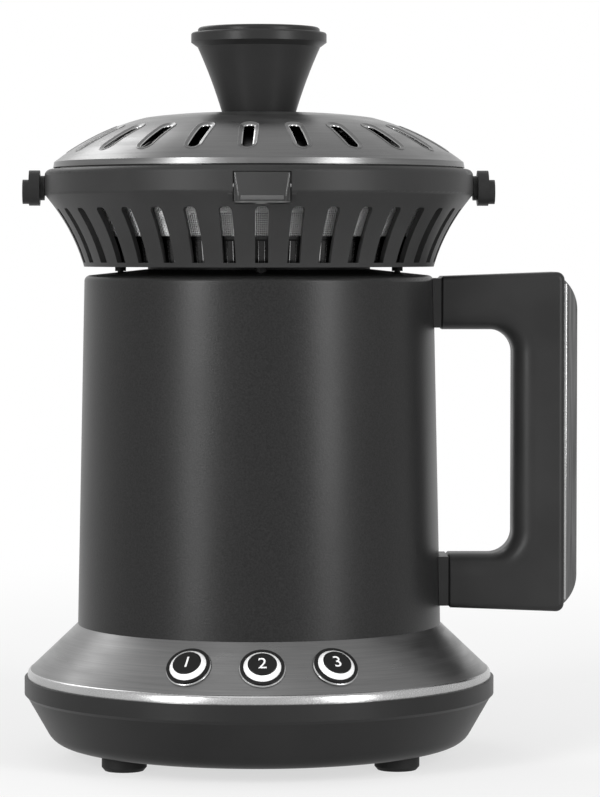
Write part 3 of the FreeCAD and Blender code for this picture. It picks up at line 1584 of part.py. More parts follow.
# The leaf's strap lies just over the lid's rim and the outer part of its dome
rim_z = size.lid_z + size.lid_rim_height
rim_radius = size.lid_radius - size.lid_rim_taper
leaf_bend_y = rim_radius - size.leaf_bend_inset
leaf_bend_z = rim_z + size.leaf_bend_rise
leaf_top_y = rim_radius - size.leaf_top_inset
leaf_top_z = rim_z + size.leaf_top_rise
strap = padded("leaf_strap", "YZ_Plane", [
    (leaf_top_y, leaf_top_z),
    (leaf_bend_y, leaf_bend_z),
    (size.hinge_y, leaf_bend_z),
    (size.hinge_y, size.hinge_z + size.hinge_barrel_radius),
    (leaf_bend_y + size.leaf_sheet / 2, size.hinge_z + size.hinge_barrel_radius),
    (leaf_top_y + size.leaf_sheet * 0.6, leaf_top_z + size.leaf_sheet * 0.8),
], size.leaf_half * 2)
barrel = rod(
    "leaf_barrel", size.hinge_barrel_radius, size.hinge_barrel_half * 2,
    -size.hinge_barrel_half, size.hinge_y, size.hinge_z, X_AXIS,
)
leaf_bore = rod(
    "leaf_bore", size.hinge_pin_radius + size.running_clearance, size.hinge_barrel_half * 2,
    -size.hinge_barrel_half, size.hinge_y, size.hinge_z, X_AXIS,
)

# Lid: domed sheet with slots, liner under it, and the leaf's rivets
sheet_t = size.lid_sheet
dome = turned("dome_turned", [
    (ZERO, size.knob_seat_z - sheet_t),
    (size.knob_seat_radius, size.knob_seat_z - sheet_t, size.plateau_arc - sheet_t, "right"),
    (size.plateau_radius, size.plateau_z - sheet_t, size.dome_arc - sheet_t, "right"),
    (rim_radius - sheet_t, rim_z - sheet_t / 4),
    (size.lid_radius - sheet_t, size.lid_z),
    (size.lid_radius, size.lid_z),
    (rim_radius, rim_z, size.dome_arc, "left"),
    (size.plateau_radius, size.plateau_z, size.plateau_arc, "left"),
    (size.knob_seat_radius, size.knob_seat_z),
    (ZERO, size.knob_seat_z),
])
lid_slot_half = size.lid_slot_width / 2
lid_corner = size.lid_slot_corner
lid_slot = pocket(
    dome, "lid_slot", "XY_Plane", size.knob_seat_z - size.lid_z, size.lid_z,
    loop=[
        (size.lid_slot_inner + lid_corner, -lid_slot_half),
        (size.lid_slot_outer - lid_corner, -lid_slot_half, lid_corner, "left"),
        (size.lid_slot_outer, lid_corner - lid_slot_half),
        (size.lid_slot_outer, lid_slot_half - lid_corner, lid_corner, "left"),
        (size.lid_slot_outer - lid_corner, lid_slot_half),
        (size.lid_slot_inner + lid_corner, lid_slot_half, lid_corner, "left"),
        (size.lid_slot_inner, lid_slot_half - lid_corner),
        (size.lid_slot_inner, lid_corner - lid_slot_half, lid_corner, "left"),
    ],
)
ring_of(dome, lid_slot, "lid_slots", size.lid_slot_count)
slot_turn = -90 - size.lid_slot_phase
place(dome, degrees=slot_turn.value)
knob_hole_radius = size.knob_screw_radius + size.running_clearance
dome_hole = rod("dome_hole", knob_hole_radius, size.knob_seat_z * 1.1)

# The leaf's rivets stand square on its slope
leaf_run = leaf_bend_y - leaf_top_y
leaf_drop = leaf_top_z - leaf_bend_z
leaf_slope = root(leaf_run * leaf_run + leaf_drop * leaf_drop)
leaf_normal = FreeCAD.Vector(0, leaf_drop.value, leaf_run.value).normalize()
rivet_y = (leaf_top_y + leaf_bend_y) / 2
rivet_z = (leaf_top_z + leaf_bend_z) / 2
rivet_down = size.lid_sheet * 3


def off_leaf(distance):
    """A point above the middle of the leaf's slope, or below it."""
    return rivet_y + leaf_drop / leaf_slope * distance, rivet_z + leaf_run / leaf_slope * distance


def leaf_rod(name, radius, start, length, x):
    y, z = off_leaf(start)
    return rod(name, radius, length, x, y, z, leaf_normal)


rivet_places = (size.rivet_offset, -size.rivet_offset)
leaf_over = size.leaf_sheet * 1.3
leaf_holes = [
    leaf_rod(
        f"leaf_hole_{i}", size.rivet_radius + size.running_clearance, -rivet_down * 1.5,
        rivet_down * 1.5 + leaf_over * 2, x,
    )
    for i, x in enumerate(rivet_places)
]
node("lid_dome", cut("dome_bored", dome, [dome_hole, *leaf_holes]))
leaf_blank = fuse("leaf_blank", [strap, barrel])
node("hinge_leaf", cut("leaf_bored", leaf_blank, [
    leaf_bore,
    *(
        leaf_rod(
            f"leaf_strap_hole_{i}", size.rivet_radius + size.running_clearance, -rivet_down,
            rivet_down + leaf_over * 2, x,
        )
        for i, x in enumerate(rivet_places)
    ),
]))
node("leaf_rivets", group("leaf_rivet_set", [
    fuse(f"leaf_rivet_{i}", [
        leaf_rod(f"leaf_rivet_shank_{i}", size.rivet_radius, -rivet_down, rivet_down + leaf_over, x),
        leaf_rod(f"leaf_rivet_head_{i}", size.rivet_head_radius, leaf_over, size.rivet_head_height, x),
    ])
    for i, x in enumerate(rivet_places)
]))

# Lid's liner: locating skirt, sloping plate with slots, flat middle under the knob
liner_radius = size.mouth_radius - size.lid_clearance
liner_bottom = size.lid_z - size.liner_skirt_depth
liner_t = size.liner_sheet
liner = turned("liner_turned", [
    (knob_hole_radius, size.liner_plate_z),
    (size.liner_plate_radius, size.liner_plate_z),
    (liner_radius - liner_t, size.liner_edge_z),
    (liner_radius - liner_t, liner_bottom),
    (liner_radius, liner_bottom),
    (liner_radius, size.liner_edge_z + liner_t),
    (size.liner_plate_radius + liner_t / 2, size.liner_plate_z + liner_t),
    (knob_hole_radius, size.liner_plate_z + liner_t),
])
liner_half = size.liner_slot_width / 2
liner_slot = pocket(
    liner, "liner_slot", "XY_Plane", size.knob_seat_z - size.lid_z, size.lid_z - size.liner_skirt_depth,
    loop=[
        (size.liner_slot_inner, -liner_half),
        (size.liner_slot_outer, -liner_half),
        (size.liner_slot_outer, liner_half),
        (size.liner_slot_inner, liner_half),
    ],
)
ring_of(liner, liner_slot, "liner_slots", size.lid_slot_count)
half_pitch = Measure(FULL_TURN, str(FULL_TURN)) / 2 / size.lid_slot_count
place(liner, degrees=(slot_turn + half_pitch).value)
node("lid_liner", liner)

# Knob with its cap, and the screw, washer and spacer that clamp it to the lid
neck_z = size.knob_seat_z + size.knob_neck_rise
edge_bottom = neck_z + size.knob_edge_rise
edge_top = edge_bottom + size.knob_edge_height
recess_radius = size.knob_cap_radius + size.seat_clearance
bite_top = size.knob_seat_z + size.knob_screw_bite
node("knob_body", turned("knob_turned", [
    (knob_hole_radius, size.knob_seat_z),
    (size.knob_seat_radius, size.knob_seat_z, size.knob_flank_arc, "right"),
    (size.knob_neck_radius, neck_z),
    (size.knob_radius, edge_bottom),
    (size.knob_radius, edge_top - size.knob_edge_round, size.knob_edge_round, "left"),
    (size.knob_radius - size.knob_edge_round, edge_top),
    (recess_radius, edge_top),
    (recess_radius, edge_top - size.knob_recess),
    (ZERO, edge_top - size.knob_recess),
    (ZERO, bite_top),
    (knob_hole_radius, bite_top),
]))
cap_z = edge_top - size.knob_recess
cap_edge_z = cap_z + size.knob_cap_thickness - size.knob_cap_round
node("knob_cap", turned("knob_cap_turned", [
    (ZERO, cap_z),
    (size.knob_cap_radius, cap_z),
    (size.knob_cap_radius, cap_edge_z, size.knob_cap_round, "left"),
    (size.knob_cap_radius - size.knob_cap_round, cap_z + size.knob_cap_thickness),
    (ZERO, cap_z + size.knob_cap_thickness),
]))
washer_top = size.liner_plate_z
washer_z = washer_top - size.knob_washer_thickness
node("knob_washer", turned("washer_turned", [
    (knob_hole_radius, washer_z),
    (size.knob_washer_radius, washer_z),
    (size.knob_washer_radius, washer_top),
    (knob_hole_radius, washer_top),
]))
spacer_bottom = size.liner_plate_z + size.liner_sheet
spacer_top = size.knob_seat_z - size.lid_sheet
node("knob_spacer", turned("spacer_turned", [
    (knob_hole_radius, spacer_bottom),
    (size.knob_spacer_radius, spacer_bottom),
    (size.knob_spacer_radius, spacer_top),
    (knob_hole_radius, spacer_top),
]))
knob_screw = screw(
    "knob_screw_turned", size.knob_screw_radius, size.knob_screw_head_radius,
    size.knob_screw_head_height, bite_top - size.body_clearance - washer_z,
)
node("knob_screw", place(knob_screw, z=washer_z - size.knob_screw_head_height))

# Every object is worked out and sound before anything is written
doc.recompute()
faults = []
for item in doc.Objects:
    if any(word in item.State for word in ("Invalid", "Error")):
        faults.append(f"{item.Name} ({item.Label}): {item.State}")
for label, item in nodes.items():
    shape = item.Shape
    if shape.isNull() or not shape.isValid() or not shape.Solids:
        faults.append(f"{label}: its shape is null, empty or unsound")
if faults:
    raise RuntimeError("; ".join(faults))

os.makedirs("parts", exist_ok=True)
for label, item in nodes.items():
    item.Shape.exportStep(f"parts/{label}.step")
print(len(nodes), "nodes written")
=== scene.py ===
"""Home coffee bean roaster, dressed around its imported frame.

The file goes up the roaster as it is put together: the picture's camera and lamps, the base, the works in
the body, the body and its handle, the chaff collector, and the lid. The camera and the lamps are placed in
metres. The roaster's own pieces are drawn in millimetres, and are made metres as they are finished.
"""
import math

import bmesh
import bpy
from mathutils import Matrix, Vector


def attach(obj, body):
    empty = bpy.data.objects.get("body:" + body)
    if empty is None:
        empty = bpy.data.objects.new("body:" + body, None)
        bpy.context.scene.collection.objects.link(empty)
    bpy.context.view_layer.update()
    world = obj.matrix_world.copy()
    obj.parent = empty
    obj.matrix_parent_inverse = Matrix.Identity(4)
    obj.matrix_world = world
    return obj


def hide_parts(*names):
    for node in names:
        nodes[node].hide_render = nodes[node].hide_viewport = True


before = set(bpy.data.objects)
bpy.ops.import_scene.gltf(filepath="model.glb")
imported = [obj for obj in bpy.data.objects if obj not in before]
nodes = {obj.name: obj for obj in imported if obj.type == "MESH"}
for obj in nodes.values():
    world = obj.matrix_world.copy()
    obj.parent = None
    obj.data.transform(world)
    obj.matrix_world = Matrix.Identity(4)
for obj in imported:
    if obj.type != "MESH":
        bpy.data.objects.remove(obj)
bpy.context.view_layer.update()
scene = bpy.context.scene
mm = 0.001


# The camera stands level with the chaff collector, a little to the left of the front, and looks slightly
# down and to the right of the roaster's axis, which leaves room for the handle.
camera_distance = 1.38
camera_height = 0.2025
camera_azimuth = math.radians(-0.8)
camera_yaw = math.radians(0.68)
camera_pitch = math.radians(2.46)

camera_data = bpy.data.cameras.new("picture_camera")
camera_data.sensor_width = 36.0
camera_data.lens = 155.8
camera_data.clip_start = 0.05
camera_data.clip_end = 30.0
camera = bpy.data.objects.new("picture_camera", camera_data)
camera.location = (
    camera_distance * math.sin(camera_azimuth),
    -camera_distance * math.cos(camera_azimuth),
    camera_height,
)
camera.rotation_euler = (math.radians(90.0) - camera_pitch, 0.0, camera_azimuth - camera_yaw)
scene.collection.objects.link(camera)
scene.camera = camera
scene.view_settings.view_transform = "Standard"


# The studio is a plain white room. The camera and every reflection see its white, and a softer share of it
# lights the roaster.
world = bpy.data.worlds.new("pale_room")
world.use_nodes = True
scene.world = world
world_nodes = world.node_tree.nodes
world_links = world.node_tree.links
room_light = world_nodes["Background"]
room_light.inputs["Color"].default_value = (1.0, 1.0, 1.0, 1.0)
room_light.inputs["Strength"].default_value = 0.42


def seen_directly(tree):
    """1 for rays from the camera, a reflection or glass, and 0 for rays that gather light."""
    path = tree.nodes.new("ShaderNodeLightPath")
    camera_or_glossy = tree.nodes.new("ShaderNodeMath")
    camera_or_glossy.operation = "MAXIMUM"
    tree.links.new(path.outputs["Is Camera Ray"], camera_or_glossy.inputs[0])
    tree.links.new(path.outputs["Is Glossy Ray"], camera_or_glossy.inputs[1])
    any_of_them = tree.nodes.new("ShaderNodeMath")
    any_of_them.operation = "MAXIMUM"
    tree.links.new(camera_or_glossy.outputs[0], any_of_them.inputs[0])
    tree.links.new(path.outputs["Is Transmission Ray"], any_of_them.inputs[1])
    return any_of_them.outputs[0]


room_white = world_nodes.new("ShaderNodeBackground")
room_white.inputs["Color"].default_value = (1.0, 1.0, 1.0, 1.0)
room_white.inputs["Strength"].default_value = 1.0
room_choice = world_nodes.new("ShaderNodeMixShader")
world_links.new(seen_directly(world.node_tree), room_choice.inputs["Fac"])
world_links.new(room_light.outputs[0], room_choice.inputs[1])
world_links.new(room_white.outputs[0], room_choice.inputs[2])
world_links.new(room_choice.outputs[0], world_nodes["World Output"].inputs["Surface"])


# The floor is a wide round board, painted white. Near the roaster it keeps the shadow, and further out it
# fades into the room.
floor_radius = 4.0
shadow_reach = 0.9
shadow_share = 0.35

floor_form = bmesh.new()
bmesh.ops.create_circle(floor_form, cap_ends=True, segments=96, radius=floor_radius)
floor_mesh = bpy.data.meshes.new("floor")
floor_form.to_mesh(floor_mesh)
floor_form.free()
floor = bpy.data.objects.new("floor", floor_mesh)
scene.collection.objects.link(floor)

floor_paint = bpy.data.materials.new("floor_paint")
floor_paint.use_nodes = True
floor_tree = floor_paint.node_tree
floor_shader = floor_tree.nodes["Principled BSDF"]
floor_shader.inputs["Base Color"].default_value = (0.85, 0.85, 0.85, 1.0)
floor_shader.inputs["Roughness"].default_value = 0.9
floor_shader.inputs["Specular IOR Level"].default_value = 0.0
floor_glow = floor_tree.nodes.new("ShaderNodeEmission")
floor_place = floor_tree.nodes.new("ShaderNodeTexCoord")
floor_distance = floor_tree.nodes.new("ShaderNodeVectorMath")
floor_distance.operation = "LENGTH"
floor_tree.links.new(floor_place.outputs["Object"], floor_distance.inputs[0])
floor_fade = floor_tree.nodes.new("ShaderNodeMapRange")
floor_fade.interpolation_type = "SMOOTHSTEP"
floor_fade.inputs["From Min"].default_value = 0.15
floor_fade.inputs["From Max"].default_value = shadow_reach
floor_fade.inputs["To Min"].default_value = 1.0 - shadow_share
floor_fade.inputs["To Max"].default_value = 1.0
floor_tree.links.new(floor_distance.outputs["Value"], floor_fade.inputs["Value"])
floor_share = floor_tree.nodes.new("ShaderNodeMath")
floor_share.operation = "MULTIPLY"
floor_tree.links.new(floor_fade.outputs["Result"], floor_share.inputs[0])
floor_tree.links.new(seen_directly(floor_tree), floor_share.inputs[1])
floor_mix = floor_tree.nodes.new("ShaderNodeMixShader")
floor_tree.links.new(floor_share.outputs[0], floor_mix.inputs["Fac"])
floor_tree.links.new(floor_shader.outputs[0], floor_mix.inputs[1])
floor_tree.links.new(floor_glow.outputs[0], floor_mix.inputs[2])
floor_tree.links.new(floor_mix.outputs[0], floor_tree.nodes["Material Output"].inputs["Surface"])
floor_mesh.materials.append(floor_paint)


# Four soft boxes light the roaster. One stands each side of the front and draws a bright band down the body,
# one is behind it on the left, and one is above it.
lamp_aim = Vector((0.0, 0.0, 0.14))


def soft_lamp(name, azimuth, height, distance, width, tall, watts):
    """A soft box that faces the middle of the roaster. Azimuth 0 is the front, 90 the handle's side."""
    lamp = bpy.data.lights.new(name, "AREA")
    lamp.shape = "RECTANGLE"
    lamp.size = width
    lamp.size_y = tall
    lamp.energy = watts
    holder = bpy.data.objects.new(name, lamp)
    turn = math.radians(azimuth)
    holder.location = (distance * math.sin(turn), -distance * math.cos(turn), height)
    holder.rotation_euler = (lamp_aim - holder.location).to_track_quat("-Z", "Y").to_euler()
    scene.collection.objects.link(holder)


soft_lamp("key_lamp", azimuth=-41.0, height=0.42, distance=1.5, width=0.38, tall=1.2, watts=21.0)
soft_lamp("fill_lamp", azimuth=43.0, height=0.42, distance=1.5, width=0.36, tall=1.2, watts=19.0)
soft_lamp("rear_lamp", azimuth=-146.0, height=1.2, distance=1.3, width=0.8, tall=0.6, watts=5.0)
soft_lamp("top_lamp", azimuth=-20.0, height=1.6, distance=0.5, width=0.9, tall=0.9, watts=2.0)


# Four moulded rubber feet carry the roaster. Each is held up into the base pan by one screw, whose head sits
# deep in a recess in the foot's underside.
def shader_group(name, inputs, outputs):
    """An empty node group with named number inputs, each with its usual value, and number outputs."""
    group = bpy.data.node_groups.new(name, "ShaderNodeTree")
    for label, value in inputs.items():
        socket = group.interface.new_socket(label, in_out="INPUT", socket_type="NodeSocketFloat")
        socket.default_value = value
    for label in outputs:
        group.interface.new_socket(label, in_out="OUTPUT", socket_type="NodeSocketFloat")
    entry = group.nodes.new("NodeGroupInput")
    leave = group.nodes.new("NodeGroupOutput")
    return group, entry, leave


def calculate(tree, operation, *values):
    """One Math node. A value is a number or the socket that it comes from."""
    node = tree.nodes.new("ShaderNodeMath")
    node.operation = operation
    for place, value in enumerate(values):
        if isinstance(value, (int, float)):
            node.inputs[place].default_value = value
        else:
            tree.links.new(value, node.inputs[place])
    return node.outputs[0]


moulding_grain, grain_in, grain_out = shader_group(
    "moulding_grain",
    {"Grain": 2600.0, "Cloud": 26.0},
    ("Grain", "Cloud"),
)
grain_place = moulding_grain.nodes.new("ShaderNodeTexCoord")
for grain_name, grain_detail in (("Grain", 2.0), ("Cloud", 4.0)):
    grain_noise = moulding_grain.nodes.new("ShaderNodeTexNoise")
    grain_noise.inputs["Detail"].default_value = grain_detail
    moulding_grain.links.new(grain_place.outputs["Object"], grain_noise.inputs["Vector"])
    moulding_grain.links.new(grain_in.outputs[grain_name], grain_noise.inputs["Scale"])
    moulding_grain.links.new(grain_noise.outputs["Fac"], grain_out.inputs[grain_name])


def new_material(name, metallic=0.0, gloss=0.5):
    """A material with its own shader, whose metal share and gloss are the same all over."""
    material = bpy.data.materials.new(name)
    material.use_nodes = True
    shader = material.node_tree.nodes["Principled BSDF"]
    shader.inputs["Metallic"].default_value = metallic
    shader.inputs["Specular IOR Level"].default_value = gloss
    return material


def pattern(material, group, **values):
    """Places a shared group in a material, with the material's own values."""
    node = material.node_tree.nodes.new("ShaderNodeGroup")
    node.node_tree = group
    for label, value in values.items():
        node.inputs[label].default_value = value
    return node


def spread(material, mask, low, high):
    """Spreads the middle of a mask between two values and gives it to the shader's roughness."""
    tree = material.node_tree
    node = tree.nodes.new("ShaderNodeMapRange")
    node.inputs["From Min"].default_value = 0.3
    node.inputs["From Max"].default_value = 0.7
    node.inputs["To Min"].default_value = low
    node.inputs["To Max"].default_value = high
    tree.links.new(mask, node.inputs["Value"])
    tree.links.new(node.outputs["Result"], tree.nodes["Principled BSDF"].inputs["Roughness"])


def tint(material, mask, dark, light, start=0.3, end=0.7):
    """Colours the shader between two colours by a mask."""
    tree = material.node_tree
    ramp = tree.nodes.new("ShaderNodeValToRGB")
    ramp.color_ramp.elements[0].position = start
    ramp.color_ramp.elements[1].position = end
    ramp.color_ramp.elements[0].color = (*dark, 1.0)
    ramp.color_ramp.elements[1].color = (*light, 1.0)
    tree.links.new(mask, ramp.inputs["Fac"])
    tree.links.new(ramp.outputs["Color"], tree.nodes["Principled BSDF"].inputs["Base Color"])


def relief(material, height, depth):
    """Raises the surface by a height pattern, depth metres from its lowest to its highest."""
    tree = material.node_tree
    node = tree.nodes.new("ShaderNodeBump")
    node.inputs["Distance"].default_value = depth
    tree.links.new(height, node.inputs["Height"])
    tree.links.new(node.outputs["Normal"], tree.nodes["Principled BSDF"].inputs["Normal"])


def grey(value, warmth=0.0):
    """A neutral colour as the shader wants it, from its brightness in the picture (0 to 255)."""
    def linear(share):
        return share / 12.92 if share <= 0.04045 else ((share + 0.055) / 1.055) ** 2.4
    return tuple(linear((value + shift) / 255.0) for shift in (warmth, 0.0, -warmth))


def moulded(name, dark, light, rough, depth=0.00002, grain=2600.0, warmth=0.0, gloss=0.14):
    """A moulded plastic or rubber: a fine even grain, and clouds where hands and cloths have been."""
    material = new_material(name, gloss=gloss)
    marks = pattern(material, moulding_grain, Grain=grain)
    tint(material, marks.outputs["Cloud"], grey(dark, warmth), grey(light, warmth))
    spread(material, marks.outputs["Cloud"], rough - 0.05, rough + 0.05)
    relief(material, marks.outputs["Grain"], depth)
    return material


def dress(material, *names):
    """Gives a material to CAD nodes."""
    for name in names:
        nodes[name].material_slots[0].material = material


foot_rubber = moulded("foot_rubber", 27, 36, 0.62, depth=0.00004, grain=1800.0)
dress(foot_rubber, "rubber_feet")


def sheet_metal(name, dark, light, rough, warmth=0.0, grain=900.0, depth=0.000006, metallic=1.0):
    """Plain metal as it comes from the mill, with faint clouds and rolling marks."""
    material = new_material(name, metallic=metallic)
    marks = pattern(material, moulding_grain, Grain=grain, Cloud=40.0)
    tint(material, marks.outputs["Cloud"], grey(dark, warmth), grey(light, warmth))
    spread(material, marks.outputs["Grain"], rough - 0.08, rough + 0.08)
    relief(material, marks.outputs["Grain"], depth)
    return material


screw_zinc = sheet_metal("screw_zinc", 150, 178, 0.36, grain=2400.0)
dress(screw_zinc, "foot_screws", "chassis_screws", "motor_screws", "handle_screws")


# The base pan is one black moulding with a rim band, and carries all that is above it. The cord gland is a
# rubber grommet pushed into its rear wall.
pan_black = moulded("pan_black", 28, 35, 0.4)
dress(pan_black, "base_pan")
gland_rubber = moulded("gland_rubber", 20, 28, 0.55, grain=1800.0)
dress(gland_rubber, "cord_gland")


# The base ring is spun from steel sheet and brushed while it turns, so its marks run round it. Its foot is
# rolled over and polished, and is coloured much lighter than the ring: a painted highlight all round above
# the pan.
turning_marks, turning_in, turning_out = shader_group(
    "turning_marks",
    {"Across": 1500.0, "Around": 3.0},
    ("Streaks", "Bands"),
)
turning_place = turning_marks.nodes.new("ShaderNodeTexCoord")
turning_parts = turning_marks.nodes.new("ShaderNodeSeparateXYZ")
turning_marks.links.new(turning_place.outputs["Object"], turning_parts.inputs[0])
turning_squares = calculate(
    turning_marks,
    "ADD",
    calculate(turning_marks, "POWER", calculate(turning_marks, "ABSOLUTE", turning_parts.outputs["X"]), 2.0),
    calculate(turning_marks, "POWER", calculate(turning_marks, "ABSOLUTE", turning_parts.outputs["Y"]), 2.0),
)
turning_radius = calculate(turning_marks, "SQRT", turning_squares)
turning_cosine = calculate(turning_marks, "DIVIDE", turning_parts.outputs["X"], turning_radius)
turning_sine = calculate(turning_marks, "DIVIDE", turning_parts.outputs["Y"], turning_radius)
for turning_name, turning_share, turning_detail in (("Streaks", 1.0, 4.0), ("Bands", 0.08, 3.0)):
    turning_step = calculate(turning_marks, "MULTIPLY", turning_in.outputs["Across"], turning_share)
    turning_vector = turning_marks.nodes.new("ShaderNodeCombineXYZ")
    for turning_axis, turning_value in (("X", turning_radius), ("Y", turning_parts.outputs["Z"])):
        turning_marks.links.new(
            calculate(turning_marks, "MULTIPLY", turning_value, turning_step),
            turning_vector.inputs[turning_axis],
        )
    turning_marks.links.new(
        calculate(turning_marks, "MULTIPLY", turning_cosine, turning_in.outputs["Around"]),
        turning_vector.inputs["Z"],
    )
    turning_noise = turning_marks.nodes.new("ShaderNodeTexNoise")
    turning_noise.noise_dimensions = "4D"
    turning_noise.inputs["Scale"].default_value = 1.0
    turning_noise.inputs["Detail"].default_value = turning_detail
    turning_marks.links.new(turning_vector.outputs[0], turning_noise.inputs["Vector"])
    turning_marks.links.new(
        calculate(turning_marks, "MULTIPLY", turning_sine, turning_in.outputs["Around"]),
        turning_noise.inputs["W"],
    )
    turning_marks.links.new(turning_noise.outputs["Fac"], turning_out.inputs[turning_name])


def turned_steel(name, dark, light, rough, across=2600.0, depth=0.0000015):
    """Steel brushed on the lathe: fine marks round the axis, and broad bands that shift its sheen."""
    material = new_material(name, metallic=1.0)
    marks = pattern(material, turning_marks, Across=across)
    tint(material, marks.outputs["Streaks"], grey(dark), grey(light), start=0.35, end=0.65)
    spread(material, marks.outputs["Bands"], rough - 0.06, rough + 0.06)
    relief(material, marks.outputs["Streaks"], depth)
    return material


ring_steel = turned_steel("ring_steel", 106, 115, 0.33)
dress(ring_steel, "base_ring")


def turn_outline(form, outline, steps=96, sweep=math.tau, material=0):
    """Turns a closed outline of radii and heights about the Z axis, starting from the X axis."""
    before = set(form.faces)
    corners = [form.verts.new((radius, 0.0, height)) for radius, height in outline]
    edges = [form.edges.new(pair) for pair in zip(corners, corners[1:] + corners[:1])]
    bmesh.ops.spin(
        form,
        geom=corners + edges,
        cent=(0.0, 0.0, 0.0),
        axis=(0.0, 0.0, 1.0),
        angle=sweep,
        steps=steps,
        use_merge=sweep == math.tau,
    )
    for face in set(form.faces) - before:
        face.material_index = material


def finish_piece(form, name, body, *materials, sharp=35.0):
    """Makes an object of a form drawn in millimetres, and lets it ride on a body."""
    bmesh.ops.remove_doubles(form, verts=form.verts, dist=0.004)
    bmesh.ops.recalc_face_normals(form, faces=form.faces)
    bmesh.ops.scale(form, vec=(mm, mm, mm), verts=form.verts)
    mesh = bpy.data.meshes.new(name)
    form.to_mesh(mesh)
    form.free()
    for material in materials:
        mesh.materials.append(material)
    mesh.polygons.foreach_set("use_smooth", [True] * len(mesh.polygons))
    mesh.set_sharp_from_angle(angle=math.radians(sharp))
    piece = bpy.data.objects.new(name, mesh)
    scene.collection.objects.link(piece)
    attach(piece, body)
    return piece


# This light steel is a painted highlight. It colours the rolled foot, the edges round the bezels, the trim's
# edges and the ribs' long edges.
painted_highlight_steel = sheet_metal("painted_highlight_steel", 158, 172, 0.24, grain=3000.0)
rolled_outline = (
    (91.6, 35.5), (92.05, 35.3), (92.5, 34.6), (92.75, 33.5), (92.78, 32.0), (92.7, 31.0), (92.2, 31.0),
)
rolled_form = bmesh.new()
turn_outline(rolled_form, rolled_outline, steps=192)
rolled_edge = finish_piece(rolled_form, "rolled_edge", "housing", painted_highlight_steel)


# Each of the three push buttons has a black bezel, a pale ring that lights up, a nut behind the steel,
# and a switch and a spring on the board's side.
bezel_black = moulded("bezel_black", 16, 22, 0.28, depth=0.000006)
dress(bezel_black, "button_bezels")
ring_white = moulded("ring_white", 222, 234, 0.35, depth=0.000006)
cap_black = moulded("cap_black", 15, 21, 0.34, depth=0.000006)
dress(cap_black, "button_cap_left", "button_cap_middle", "button_cap_right")

button_azimuths = {"left": -19.8, "middle": 0.0, "right": 19.8}
button_radius = 82.18
button_height = 44.42
button_lean = math.radians(43.47)
cap_face = 3.1
riser_outline = ((7.15, 0.4), (7.15, 1.3), (6.95, 1.55), (5.75, 2.85), (5.6, 2.9), (5.6, 0.4))
bezel_edge_outline = ((8.45, 0.0), (8.95, 0.0), (8.8, 0.25), (8.45, 0.4))


def at_button(side):
    """Takes a form on the Z axis to a button, whose axis leans back from the steel cone."""
    turn = math.radians(button_azimuths[side])
    place = Matrix.Translation((0.0, -button_radius, button_height))
    return Matrix.Rotation(turn, 4, "Z") @ place @ Matrix.Rotation(button_lean, 4, "X")


def at_every_button(outline, name, material):
    """Turns one outline for each button and joins the three in one piece."""
    form = bmesh.new()
    for side in button_azimuths:
        before = set(form.verts)
        turn_outline(form, outline, steps=64)
        bmesh.ops.transform(form, matrix=at_button(side), verts=list(set(form.verts) - before))
    return finish_piece(form, name, "housing", material)


light_risers = at_every_button(riser_outline, "light_risers", ring_white)
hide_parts("button_light_rings")
# The thin steel edge round each bezel is coloured light, a painted highlight.
bezel_edges = at_every_button(bezel_edge_outline, "bezel_edges", painted_highlight_steel)

numeral_size = 7.28
numeral_lift = 0.03
numeral_white = moulded("numeral_white", 216, 228, 0.45, depth=0.000004)
for side, numeral in (("left", "1"), ("middle", "2"), ("right", "3")):
    numeral_text = bpy.data.curves.new(f"numeral_{side}_text", "FONT")
    numeral_text.body = numeral
    numeral_text.size = numeral_size
    numeral_text.align_x = "CENTER"
    numeral_text.align_y = "CENTER"
    numeral_text.extrude = numeral_lift
    text_holder = bpy.data.objects.new(f"numeral_{side}_text", numeral_text)
    numeral_mesh = bpy.data.meshes.new_from_object(text_holder)
    numeral_form = bmesh.new()
    numeral_form.from_mesh(numeral_mesh)
    bpy.data.objects.remove(text_holder)
    bpy.data.curves.remove(numeral_text)
    bpy.data.meshes.remove(numeral_mesh)
    numeral_place = at_button(side) @ Matrix.Translation((0.0, 0.0, cap_face + numeral_lift))
    bmesh.ops.transform(numeral_form, matrix=numeral_place, verts=numeral_form.verts)
    numeral_piece = finish_piece(numeral_form, f"button_numeral_{side}", f"button_{side}", numeral_white)

nylon_black = moulded("nylon_black", 40, 52, 0.5)
dress(nylon_black, "button_nuts", "button_switches")
spring_steel = sheet_metal("spring_steel", 150, 190, 0.28, grain=3000.0)
dress(spring_steel, "button_springs", "latch_spring")


# The works stand on a steel chassis plate: a motor with its fan, the heater on its mica frame, and the board
# with its safety cut-outs. The beans turn in the steel cup above them.
plate_zinc = sheet_metal("plate_zinc", 150, 182, 0.4, grain=500.0)
dress(plate_zinc, "chassis_plate", "heat_shield", "air_guide")
motor_paint = moulded("motor_paint", 58, 72, 0.42)
dress(motor_paint, "motor_case", "motor_rotor")
shaft_steel = turned_steel("shaft_steel", 150, 190, 0.22)
dress(shaft_steel, "motor_shaft")
fan_black = moulded("fan_black", 46, 58, 0.45)
dress(fan_black, "fan_housing", "impeller")
mica_sheet = moulded("mica_sheet", 168, 196, 0.34, grain=700.0, warmth=14.0)
dress(mica_sheet, "heater_frame")
heater_wire = sheet_metal("heater_wire", 92, 128, 0.45, warmth=6.0, grain=3000.0)
dress(heater_wire, "heater_coil")
fuse_white = moulded("fuse_white", 190, 210, 0.4)
dress(fuse_white, "thermostat", "thermal_fuse")
board_brown = moulded("board_brown", 120, 140, 0.5, grain=800.0, warmth=30.0)
dress(board_brown, "control_board")
board_black = moulded("board_black", 34, 44, 0.4)
dress(board_black, "board_parts")
chamber_steel = turned_steel("chamber_steel", 150, 186, 0.26)
dress(chamber_steel, "roasting_chamber")


